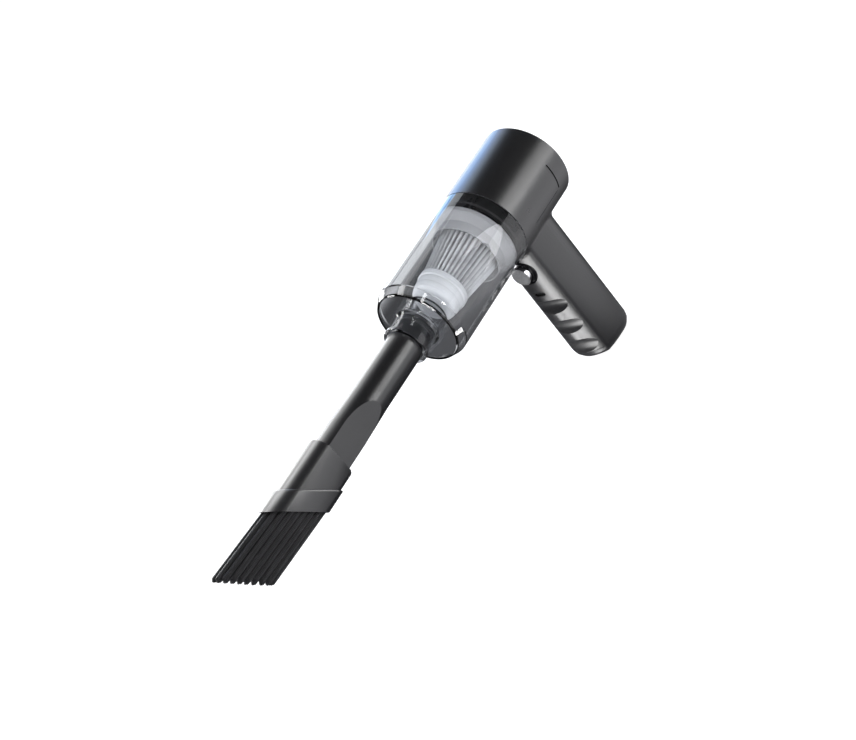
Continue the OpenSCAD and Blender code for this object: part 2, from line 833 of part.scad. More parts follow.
module charge_port() {
    color(steel) {
        difference() {
            port_plug(0, port_back, port_front);
            port_plug(-port_wall, port_back + port_floor, port_front + 1);
        }
        translate([port_back + eps, -port_tongue_w / 2, -port_z - port_tongue_t / 2])
            cube([port_depth - port_floor, port_tongue_w, port_tongue_t]);
        translate([board_x + board_t, -port_base_w / 2, -port_z - port_base_h / 2])
            cube([port_back - board_x - board_t + eps, port_base_w, port_base_h]);
    }
}

// The button's cap and stem, the switch that the stem presses, and the ring that guides them.
bezel_depth = 8;
bezel_back = front_x - bezel_depth;
button_room = 1.2;
stem_d = 3;
stem_end = bezel_back + 0.4;
cap_back = front_x - 3.2;
cap_edge = 0.8;
cap_rim = 1.2;
cap_dish = 0.3;
button_face = front_x + button_proud;
switch_base = 2.4;
switch_w = 6;
switch_tip_d = 3.2;
switch_gap = 0.1;
module power_switch() {
    base_x = board_x + board_t;
    color(near_black) translate([base_x, -switch_w / 2, -button_z - switch_w / 2])
        cube([switch_base, switch_w, switch_w]);
    color(copper) translate([0, 0, -button_z])
        rod(switch_tip_d / 2, base_x + switch_base - eps, stem_end - button_travel - switch_gap);
}

module power_button() {
    r = button_d / 2;
    dish_r = r - cap_rim;
    color(chrome) translate([0, 0, -button_z]) turned([
        [0, stem_end], [stem_d / 2, stem_end], [stem_d / 2, cap_back], [r, cap_back],
        [r, button_face - cap_edge], [r - cap_edge, button_face], [dish_r, button_face],
        [dish_r, button_face - cap_dish], [0, button_face - cap_dish]]);
}

// The stepped ring round the button, with the seat that the spring rests on.
seat_t = 1.2;
seat_front = bezel_back + seat_t;
step_r = 1.5;
step_back = 1.1;
step_edge = 0.5;
bezel_out = 0.2;
module button_bezel() {
    ro = bezel_d / 2;
    ri = button_d / 2 + button_gap;
    guide_r = stem_d / 2 + button_gap;
    step_x = front_x - step_back;
    color(near_black) translate([0, 0, -button_z]) turned([
        [guide_r, bezel_back], [ro, bezel_back], [ro, step_x - step_edge], [ro - step_edge, step_x],
        [ro - step_r, step_x], [ro - step_r, front_x - bezel_out],
        [ro - step_r - 2 * bezel_out, front_x + bezel_out], [ri, front_x + bezel_out],
        [ri, seat_front], [guide_r, seat_front]]);
}

// A flat-wire coil: turning an arc of the ring as it rises gives a strip of the wire's thickness.
spring_r = 3.6;
spring_wire = 0.8;
spring_turns = 2.5;
spring_h = cap_back - seat_front;
wire_arc = 360 * spring_turns * spring_wire / spring_h;
arc_steps = 8;
function spring_arc(r) = [for (i = [0 : arc_steps])
    let (a = wire_arc * i / arc_steps) r * [cos(a), sin(a)]];
module button_spring() {
    inner = spring_arc(spring_r - spring_wire / 2);
    color(steel) translate([seat_front, 0, -button_z]) rotate([0, 90, 0])
        linear_extrude(spring_h, twist = -360 * spring_turns, slices = 36, $fn = 12)
            polygon(concat(spring_arc(spring_r + spring_wire / 2),
                           [for (i = [arc_steps : -1 : 0]) inner[i]]));
}

// Two leads run from the board's top edge back through the handle's neck, up through a hole in the
// barrel behind the fan, and back along the barrel to the terminals at the motor's rear.
wire_d = 1.4;
wire_bend = 2;
wire_hole_d = 9;
wire_hole_x = diffuser_x - wire_hole_d / 2 - 0.7;
wire_x = board_x + board_t / 2;
wire_neck_z = board_top + 4;
wire_run_z = -motor_r - 4;
wire_end_x = bell_rear - terminal_len / 2;

// A quarter turn of the lead round a centre in the XZ plane, from the angle "from".
module wire_elbow(x, z, from) {
    translate([x, 0, z]) rotate([90, 0, 0]) rotate([0, 0, from])
        rotate_extrude(angle = 90) translate([wire_bend, 0]) circle(d = wire_d, $fn = 24);
}

module wire_rise(x, z0, z1) {
    translate([x, 0, z0]) cylinder(d = wire_d, h = z1 - z0, $fn = 24);
}

module wire_run(z, x0, x1) {
    translate([0, 0, z]) rod(wire_d / 2, x0, x1, $fn = 24);
}

module motor_wires() {
    color("firebrick") for (s = [-1, 1]) translate([0, s * terminal_y, 0]) {
        wire_rise(wire_x, board_top, wire_neck_z - wire_bend);
        wire_elbow(wire_x - wire_bend, wire_neck_z - wire_bend, 0);
        wire_run(wire_neck_z, wire_hole_x + wire_bend, wire_x - wire_bend);
        wire_elbow(wire_hole_x + wire_bend, wire_neck_z + wire_bend, 180);
        wire_rise(wire_hole_x, wire_neck_z + wire_bend, wire_run_z - wire_bend);
        wire_elbow(wire_hole_x - wire_bend, wire_run_z - wire_bend, 0);
        wire_run(wire_run_z, wire_end_x + wire_bend, wire_hole_x - wire_bend);
        wire_elbow(wire_end_x + wire_bend, wire_run_z + wire_bend, 180);
        wire_rise(wire_end_x, wire_run_z + wire_bend, terminal_z);
    }
}

// ---------------------------------------------------------------- dust cup

cup_rear = barrel_len + cup_gap;
cup_front = cup_rear + cup_len;
cup_bore_r = barrel_r - cup_wall;
tube_r = tube_d / 2;
socket_bore_r = tube_r + tube_gap;
socket_rear = cup_front - cup_front_wall - socket_in;
socket_front = cup_front + socket_out;
tube_rear = socket_front - tube_in;
tube_stop = 1.6;
stop_x = tube_rear - 0.3;
edge = 0.4;
cove = 1.2;
bevel_roll = [1.3, 0.35];
face_roll = [0.5, 0.9];
module dust_cup() {
    r = barrel_r;
    face_r = r - cup_bevel_in;
    bevel_x = cup_front - cup_bevel_len;
    inner_x = cup_front - cup_front_wall;
    socket_r = socket_d / 2;
    rim_r = socket_rim_d / 2;
    rim_x = socket_front - socket_rim_w;
    stop_r = socket_bore_r - tube_stop;
    color(smoke) turned([
        // Outside, from the rear edge to the front face
        [cup_bore_r, cup_rear], [r - edge, cup_rear], [r, cup_rear + edge],
        [r, bevel_x], [r - bevel_roll[1], bevel_x + bevel_roll[0]],
        [face_r + face_roll[1], cup_front - face_roll[0]], [face_r, cup_front],
        // Outside of the socket and its rim
        [socket_r + cove, cup_front], [socket_r, cup_front + cove],
        [socket_r, rim_x - 2 * edge], [rim_r, rim_x], [rim_r, socket_front - edge],
        [rim_r - edge, socket_front], [socket_bore_r + edge, socket_front],
        // Bore of the socket, with the stop for the tube
        [socket_bore_r, socket_front - edge], [socket_bore_r, stop_x], [stop_r, stop_x - tube_stop],
        [stop_r, socket_rear + edge], [stop_r + edge, socket_rear], [socket_r - edge, socket_rear],
        // Inside of the cup
        [socket_r, socket_rear + edge], [socket_r, inner_x - cove], [socket_r + cove, inner_x],
        [face_r - edge, inner_x], [cup_bore_r, bevel_x - edge]]);
}

// ---------------------------------------------------------------- filter

gasket_t = 1.2;
filter_x = spigot_front + 0.3;
flange_x = filter_x + gasket_t;
bell_x = flange_x + flange_t;
pleat_x = bell_x + bell_len;
pleat_end = pleat_x + pleat_len;
pleat_r2 = pleat_r1 - pleat_narrow;
lip_cover = 2.4;
lip_t = 1.4;
module filter_gasket() {
    color(near_black) ring(flange_r - 1, neck_r + 2 * gasket_t, filter_x, flange_x);
}

// The neck, the flange and a bell whose flared lip stands over the start of the pleats.
module filter_frame() {
    neck_x = filter_x - neck_len;
    lip_r = flange_r - bell_inset;
    lip_x = pleat_x + bell_lip;
    seat_r = pleat_r1 - pleat_depth - paper_t - edge;
    color(frosted) turned([
        [neck_r - filter_wall, neck_x], [neck_r - edge, neck_x], [neck_r, neck_x + edge],
        [neck_r, flange_x], [flange_r, flange_x], [flange_r, bell_x - 2 * edge],
        [flange_r - 2 * edge, bell_x], [lip_r + 2 * lip_t, bell_x + filter_wall],
        [lip_r + lip_t / 2, pleat_x], [lip_r, lip_x], [lip_r - 2 * edge, lip_x],
        [pleat_r1 + edge, pleat_x + edge], [pleat_r1 + edge, pleat_x], [seat_r, pleat_x],
        [seat_r, pleat_x - filter_wall], [neck_r - filter_wall, pleat_x - 2 * filter_wall]]);
}

// A pleated cone wall: a star-shaped ring that tapers along X.
function star(n, ro, ri) = [for (i = [0 : 2 * n - 1])
    (i % 2 == 0 ? ro : ri) * [cos(180 * i / n), sin(180 * i / n)]];

module filter_pleats() {
    color(paper_grey) translate([pleat_x, 0, 0]) rotate([0, 90, 0])
        linear_extrude(pleat_len, scale = pleat_r2 / pleat_r1) difference() {
            polygon(star(pleat_count, pleat_r1, pleat_r1 - pleat_depth));
            polygon(star(pleat_count, pleat_r1 - paper_t, pleat_r1 - pleat_depth - paper_t));
        }
}

// The hollow end cap: its lip covers the ends of the pleats, and its front edge is rounded.
cap_taper = 0.8;
cap_nose = [[4, 0], [1.6, 0.8], [0.4, 2.5], [0, 4.5]];
module filter_cap() {
    lip_bore_r = pleat_r2 + 0.9;
    lip_r = pleat_r2 + lip_t;
    nose_r = lip_r - cap_taper - edge;
    x1 = pleat_end + tip_len;
    color(frosted) turned(concat(
        [[lip_bore_r, pleat_end - lip_cover], [lip_r, pleat_end - lip_cover],
         [lip_r, pleat_end + filter_wall - cap_taper], [lip_r - cap_taper, pleat_end + filter_wall]],
        [for (p = cap_nose) [nose_r - p[1], x1 - p[0]]],
        [[0, x1], [0, x1 - filter_wall], [nose_r - 5, x1 - filter_wall],
         [nose_r - filter_wall, x1 - 4 - edge], [nose_r - filter_wall, pleat_end + filter_wall],
         [0, pleat_end + filter_wall], [0, pleat_end], [lip_bore_r, pleat_end]]));
}

// ---------------------------------------------------------------- crevice tool

tool_r = flat_d / 2;
flat_full_x = flat_x + flat_run;
flare_from = 6;
tool_past_band = 8;
tool_end_x = band_x + tool_past_band;
nozzle_seal_x = tube_rear + 7;
nozzle_seal_w = 2;
nozzle_seal_r = tube_r - 0.9;

// The tool's outer or inner form: a round tube that flattens on its two sides.
module tool_form(inset, x0) {
    r0 = tube_r - inset;
    r1 = tool_r - inset;
    half = flat_t / 2 - inset;
    difference() {
        turned([[0, x0], [r0, x0], [r0, flat_x - flare_from], [r1, flat_full_x], [r1, big], [0, big]]);
        for (s = [0, 1]) mirror([0, s, 0]) translate([0, 0, -big / 2]) linear_extrude(big)
            run_out(half, r0);
    }
}

// The cutter's outline in plan: a flat that leaves the tube along an arc.
module run_out(half, r0) {
    rise = r0 + seat_gap - half;
    arc_r = (flat_run * flat_run + rise * rise) / (2 * rise);
    translate([flat_full_x, half]) {
        square([big, big]);
        intersection() {
            translate([0, arc_r]) circle(r = arc_r, $fn = 360);
            translate([-flat_run, 0]) square([flat_run + eps, rise + cut_out]);
        }
    }
}

// Everything in front of a slanted plane through the axis at x.
module slanted_front(x) {
    reach = barrel_d;
    translate([0, big / 2, 0]) rotate([90, 0, 0]) linear_extrude(big)
        polygon([[x - mouth_slope * reach, -reach], [x + mouth_slope * reach, reach],
                 [x + big, reach], [x + big, -reach]]);
}

// Everything behind that plane.
module slanted_back(x) {
    mirror([1, 0, 0]) mirror([0, 0, 1]) slanted_front(-x);
}

module crevice_nozzle() {
    color(charcoal) difference() {
        tool_form(0, tube_rear);
        tool_form(tool_wall, tube_rear - 1);
        slanted_front(tool_end_x);
        ring(tube_r + 1, nozzle_seal_r, nozzle_seal_x - fit_gap, nozzle_seal_x + nozzle_seal_w + fit_gap);
    }
}

module nozzle_seal() {
    color(near_black) ring(tube_r + tube_gap / 2, nozzle_seal_r + seat_gap, nozzle_seal_x,
                           nozzle_seal_x + nozzle_seal_w);
}

// ---------------------------------------------------------------- brush

// Upright rounded slot, centred on the axis, for half height h and half thickness t. The round ends
// are wider than the flats by "bulge", so the edges of the flats stay visible.
module slot_section(h, t, bulge) {
    r = t + bulge;
    intersection() {
        union() {
            for (s = [-1, 1]) translate([s * (h - r), 0]) circle(r = r);
            square([2 * (h - r), 2 * r], center = true);
        }
        square([2 * h + 1, 2 * t], center = true);
    }
}

module slot_rod(h, t, bulge = 0, x0 = sleeve_x) {
    translate([x0, 0, 0]) rotate([0, 90, 0]) linear_extrude(big) slot_section(h, t, bulge);
}

sleeve_half_t = flat_t / 2 + sleeve_gap + sleeve_wall;
sleeve_bulge = 1;
ridge_past = 1;
mouth_x = band_x + band_len;
ledge_x = mouth_x - tuft_root;
rim_wall = 0.9;
band_half_h = sleeve_half_h + band_proud;
band_half_t = sleeve_half_t + band_proud;
tuft_r = tuft_d / 2;
tuft_gap = 0.35;
tuft_half_h = band_half_h - rim_wall - tuft_r - tuft_gap;
tuft_half_t = band_half_t - rim_wall - tuft_r - tuft_gap;
air_gap = 0.6;
module brush_sleeve() {
    socket_r = tool_r + sleeve_gap;
    socket_half_t = flat_t / 2 + sleeve_gap;
    color(charcoal) difference() {
        union() {
            difference() {
                slot_rod(sleeve_half_h, sleeve_half_t, sleeve_bulge);
                slanted_front(band_x + ridge_past);
            }
            difference() {
                slot_rod(band_half_h, band_half_t, sleeve_bulge);
                slanted_front(mouth_x);
                slanted_back(band_x);
            }
        }
        // Socket for the tool
        difference() {
            intersection() {
                rod(socket_r, sleeve_x - 1, big);
                translate([0, -socket_half_t, -big / 2]) cube([big, 2 * socket_half_t, big]);
            }
            slanted_front(tool_end_x + edge);
        }
        // Air way through the ledge
        slot_rod(tuft_half_h - tuft_r - air_gap, tuft_half_t - tuft_r - air_gap);
        // Room for the tufts in front of the ledge
        intersection() {
            slot_rod(band_half_h - rim_wall, band_half_t - rim_wall);
            slanted_front(ledge_x);
        }
    }
}

// Place of a tuft: a point at distance s along the slot-shaped path, as [y, z].
tuft_c = tuft_half_h - tuft_half_t;
tuft_arc = PI * tuft_half_t;
tuft_path = 4 * tuft_c + 2 * tuft_arc;
function tuft_turn(s, from) =
    let (a = from + 180 * s / tuft_arc) tuft_half_t * [cos(a), sin(a)];
function slot_point(s) =
    s < 2 * tuft_c ? [tuft_half_t, -tuft_c + s] :
    s < 2 * tuft_c + tuft_arc ? [0, tuft_c] + tuft_turn(s - 2 * tuft_c, 0) :
    s < 4 * tuft_c + tuft_arc ? [-tuft_half_t, 3 * tuft_c + tuft_arc - s] :
    [0, -tuft_c] + tuft_turn(s - 4 * tuft_c - tuft_arc, 180);

// The tufts stand on the ledge round the air way. Each leans up a little and splays outwards, and
// their tips end along a slant.
tip_slope = 0.77;
tip_round = 1;
tuft_start = 20;
module brush_tufts() {
    color(near_black) for (i = [0 : tuft_count - 1]) {
        p = slot_point((i + 0.5) * tuft_path / tuft_count);
        root_x = ledge_x + mouth_slope * p[1];
        tuft_h = mouth_x + tuft_len + tip_slope * p[1] - root_x;
        difference() {
            translate([root_x, p[0], p[1]])
                rotate([0, -tuft_lean - tuft_splay * p[1] / tuft_half_h, tuft_splay * p[0] / tuft_half_t]) {
                    rod(tuft_r, -tuft_start, tuft_h - tip_round);
                    rod(tuft_r, tuft_h - tip_round - eps, tuft_h, tuft_r / 2);
                }
            slanted_back(ledge_x);
        }
    }
}

housing_left();
housing_right();
rear_grille();
cup_spigot();
cup_seal();
motor_can();
motor_end_bell();
motor_mount();
shaft_bearings();
fan_shroud();
diffuser();
battery_cell();
battery_holder();
control_board();
power_switch();
charge_port();
button_bezel();
housing_screws();
motor_wires();
motor_shaft();
impeller();
impeller_nut();
power_button();
button_spring();
dust_cup();
filter_frame();
filter_gasket();
filter_pleats();
filter_cap();
nozzle_seal();
crevice_nozzle();
brush_sleeve();
brush_tufts();
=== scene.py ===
"""Handheld vacuum: finishes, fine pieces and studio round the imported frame.

Each sub-assembly is a class with its sizes as fields. Each finish is a frozen dataclass that builds
one node-based material. The effects that several finishes share are node groups, made once.
"""
import logging
import math
from contextlib import contextmanager
from dataclasses import dataclass
from enum import Enum
from typing import Any, Callable, ClassVar, Dict, Iterator, Tuple

import bpy
from mathutils import Matrix, Vector


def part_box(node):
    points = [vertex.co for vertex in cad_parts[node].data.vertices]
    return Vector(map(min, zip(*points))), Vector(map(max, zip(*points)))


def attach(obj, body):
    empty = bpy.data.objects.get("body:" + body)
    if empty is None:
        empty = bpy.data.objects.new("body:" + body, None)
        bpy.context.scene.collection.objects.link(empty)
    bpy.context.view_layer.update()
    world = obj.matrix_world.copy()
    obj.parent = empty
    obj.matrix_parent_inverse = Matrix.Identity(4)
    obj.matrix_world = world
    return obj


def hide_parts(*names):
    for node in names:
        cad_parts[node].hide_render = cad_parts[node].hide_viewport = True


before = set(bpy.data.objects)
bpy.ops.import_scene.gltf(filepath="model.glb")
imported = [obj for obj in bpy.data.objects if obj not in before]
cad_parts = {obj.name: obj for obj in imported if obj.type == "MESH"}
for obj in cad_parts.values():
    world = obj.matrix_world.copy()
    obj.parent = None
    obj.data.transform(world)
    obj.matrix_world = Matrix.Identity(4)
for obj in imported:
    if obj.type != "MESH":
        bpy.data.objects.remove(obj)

LOG = logging.getLogger("handheld_vacuum")
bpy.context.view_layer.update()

MM = 0.001
# Points of a CAD mesh that are nearer than this are one.
WELD = 0.0005 * MM
# A lamp panel's power over its area, in watts per square metre, at a radiance of 1.
PANEL_POWER = 4.0
WHITE = (1.0, 1.0, 1.0)

Colour = Tuple[float, float, float]
Point = Tuple[float, float, float]
Piece = bpy.types.Object
Node = bpy.types.Node
Socket = bpy.types.NodeSocket


# ------------------------------------------------------------------ modelling by hand


class Bench:
    """The modelling bench: selecting, editing and finishing a piece with Blender's own operators."""

    @staticmethod
    def clear() -> None:
        """Deselects everything, in object mode."""
        if bpy.context.object and bpy.context.object.mode != "OBJECT":
            bpy.ops.object.mode_set(mode="OBJECT")
        bpy.ops.object.select_all(action="DESELECT")

    @staticmethod
    def take(*pieces: Piece) -> None:
        """Selects only some pieces, and makes the first of them active.

        Args:
            *pieces: The pieces to work on.
        """
        Bench.clear()
        for piece in pieces:
            piece.select_set(True)
        bpy.context.view_layer.objects.active = pieces[0]

    @staticmethod
    @contextmanager
    def editing(piece: Piece) -> Iterator[None]:
        """Opens a piece in edit mode, all of it selected, for the length of a with block.

        Args:
            piece: The piece to edit.

        Returns:
            Nothing, through the with statement.
        """
        Bench.take(piece)
        bpy.ops.object.mode_set(mode="EDIT")
        bpy.ops.mesh.select_all(action="SELECT")
        try:
            yield
        finally:
            bpy.ops.object.mode_set(mode="OBJECT")

    @staticmethod
    def weld() -> None:
        """Joins the loose triangles of a CAD mesh in edit mode, and drops its stored normals."""
        bpy.ops.mesh.remove_doubles(threshold=WELD)
        bpy.ops.mesh.customdata_custom_splitnormals_clear()

    @staticmethod
    def draw_out(length: float) -> None:
        """Extrudes what is selected along X."""
        bpy.ops.mesh.extrude_region_move(TRANSFORM_OT_translate={"value": (length, 0, 0)})

    @staticmethod
    def narrow(share: float) -> None:
        """Draws what is selected towards the barrel's axis."""
        bpy.ops.transform.resize(value=(1, share, share), center_override=(0, 0, 0))

    @staticmethod
    def pick_points(piece: Piece, wanted: Callable[[int, Vector], bool]) -> int:
        """Selects a mesh's points by their number and place, and leaves it in edit mode.

        Args:
            piece: The piece in edit mode.
            wanted: Says of a point's number and place whether it is selected.

        Returns:
            How many points are selected.
        """
        bpy.ops.mesh.select_mode(type="VERT")
        bpy.ops.mesh.select_all(action="DESELECT")
        bpy.ops.object.mode_set(mode="OBJECT")
        count = 0
        for point in piece.data.vertices:
            point.select = wanted(point.index, point.co)
            count += point.select
        bpy.ops.object.mode_set(mode="EDIT")
        return count

    @staticmethod
    def settle(name: str) -> Piece:
        """Names the active piece and brings its place and turn into its mesh.

        Args:
            name: Its new name.

        Returns:
            The piece, with its object at the origin.
        """
        piece = bpy.context.object
        Bench.take(piece)
        bpy.ops.object.transform_apply(location=True, rotation=True, scale=True)
        piece.name = name
        piece.data.name = name
        return piece

    @staticmethod
    def smooth(piece: Piece, degrees: float) -> None:
        """Shades a piece smooth across every edge flatter than an angle."""
        Bench.take(piece)
        bpy.ops.object.shade_smooth_by_angle(angle=math.radians(degrees))

    @staticmethod
    def twin(piece: Piece, name: str) -> Piece:
        """Copies a piece, with a mesh of its own.

        Args:
            piece: The piece to copy.
            name: The copy's name.

        Returns:
            The copy.
        """
        copy = piece.copy()
        copy.data = piece.data.copy()
        copy.name = name
        copy.data.name = name
        copy.parent = None
        for key in list(copy.keys()):
            del copy[key]
        bpy.context.scene.collection.objects.link(copy)
        return copy


# ------------------------------------------------------------------ shader nodes


class Graph:
    """A hand for laying shader nodes into one tree."""

    def __init__(self, tree: bpy.types.NodeTree) -> None:
        """Keeps the tree that the nodes go into."""
        self.tree = tree

    def add(self, kind: str, **settings: Any) -> Node:
        """Adds a shader node.

        Args:
            kind: The node's type, after its first two words.
            **settings: Its properties.

        Returns:
            The node.
        """
        node = self.tree.nodes.new(f"ShaderNode{kind}")
        for key, value in settings.items():
            setattr(node, key, value)
        return node

    def feed(self, target: Socket, value: Any) -> None:
        """Gives an input its value, or joins it to another node's output.

        Args:
            target: The input.
            value: A number, colour, vector or socket.
        """
        if isinstance(value, Socket):
            self.tree.links.new(value, target)
        else:
            target.default_value = (*value, 1.0) if target.type == "RGBA" else value

    def put(self, node: Node, **values: Any) -> Node:
        """Feeds a node's inputs by name.

        Args:
            node: The node.
            **values: Its inputs, with a low line for each space in a name.

        Returns:
            The same node.
        """
        for name, value in values.items():
            self.feed(node.inputs[name.replace("_", " ")], value)
        return node

    def row(self, node: Node, *values: Any) -> Socket:
        """Feeds a node's inputs in order.

        Args:
            node: The node.
            *values: Its inputs.

        Returns:
            The node's first output.
        """
        for socket, value in zip(node.inputs, values):
            self.feed(socket, value)
        return node.outputs[0]

    def made(self, kind: str, **values: Any) -> Socket:
        """Adds a node, feeds its inputs by name and gives its first output."""
        return self.put(self.add(kind), **values).outputs[0]

    def math(self, operation: str, first: Any, second: Any = 0.0, clamp: bool = False) -> Socket:
        """Works out a sum of two numbers or sockets, kept from 0 to 1 if asked."""
        return self.row(self.add("Math", operation=operation, use_clamp=clamp), first, second)

    def plus(self, first: Any, second: Any, clamp: bool = False) -> Socket:
        """Adds two numbers or sockets."""
        return self.math("ADD", first, second, clamp)

    def minus(self, first: Any, second: Any, clamp: bool = False) -> Socket:
        """Takes the second number or socket from the first."""
        return self.math("SUBTRACT", first, second, clamp)

    def times(self, first: Any, second: Any, clamp: bool = False) -> Socket:
        """Multiplies two numbers or sockets."""
        return self.math("MULTIPLY", first, second, clamp)

    def spread(self, value: Any, low: Any = 0.0, high: Any = 1.0,
               to_low: float = 0.0, to_high: float = 1.0) -> Socket:
        """Maps a range of values on to another, smoothly at both ends.

        Args:
            value: The number or socket.
            low: Start of its range.
            high: End of its range.
            to_low: The result at the start.
            to_high: The result at the end.

        Returns:
            The result's socket.
        """
        node = self.add("MapRange", interpolation_type="SMOOTHSTEP")
        return self.row(node, value, low, high, to_low, to_high)

    def blend(self, factor: Any, first: Any, second: Any) -> Socket:
        """Mixes two colours.

        Args:
            factor: How much of the second.
            first: The first colour or socket.
            second: The second colour or socket.

        Returns:
            The mixed colour's socket.
        """
        node = self.add("Mix", data_type="RGBA")
        for number, value in ((0, factor), (6, first), (7, second)):
            self.feed(node.inputs[number], value)
        return node.outputs[2]

    def noise(self, vector: Any, scale: float, detail: float = 3.0, rough: float = 0.5) -> Socket:
        """Adds a noise texture with so many waves per metre and finer layers of some strength."""
        return self.made("TexNoise", Vector=vector, Scale=scale, Detail=detail, Roughness=rough)

    def scaled(self, vector: Any, factors: Any) -> Socket:
        """Multiplies a vector by three factors or by a number's socket."""
        return self.row(self.add("VectorMath", operation="MULTIPLY"), vector, factors)

    def place(self) -> Socket:
        """Gives the piece's own coordinates, in metres."""
        return self.add("TexCoord").outputs["Object"]

    def parts_of(self, vector: Any) -> Any:
        """Splits a vector into its x, y and z."""
        return self.put(self.add("SeparateXYZ"), Vector=vector).outputs

    def off_axis(self, y: Socket, z: Socket) -> Socket:
        """Gives the distance from the barrel's axis."""
        return self.math("SQRT", self.plus(self.times(y, y), self.times(z, z)))

    def ray(self, name: str) -> Socket:
        """Says whether the light path is of a kind."""
        return self.add("LightPath").outputs[name]

    def mixed(self, factor: Any, first: Socket, second: Socket) -> Socket:
        """Mixes two shaders."""
        return self.row(self.add("MixShader"), factor, first, second)

    def end(self, surface: Socket) -> None:
        """Makes a shader the material's surface."""
        self.feed(self.tree.nodes["Material Output"].inputs["Surface"], surface)


class Effect(Enum):
    """The effects that more than one finish uses: the usual inputs and the outputs of each."""

    MOULDED_GRAIN = ({"Scale": 2600.0, "Flow": 30.0}, ("Height", "Tone", "Pits"))
    HANDLED_SHEEN = ({"Size": 45.0, "Reach": 0.5}, ("Mask",))
    WORN_RIM = ({"Rim X": 0.0, "Slope": 0.0, "Width": 0.6 * MM}, ("Mask",))
    SETTLED_DUST = ({"Amount": 0.2, "Grit": 900.0}, ("Mask",))
    HAIR_SCRATCHES = ({"Density": 0.3, "Length": 1.0}, ("Height", "Mask"))
    PAPER_FIBRE = ({"Scale": 1800.0, "Soil": 0.4}, ("Height", "Tone", "Soil Mask"))
    TURNED_LINES = ({"Pitch": 9000.0}, ("Height", "Tone"))


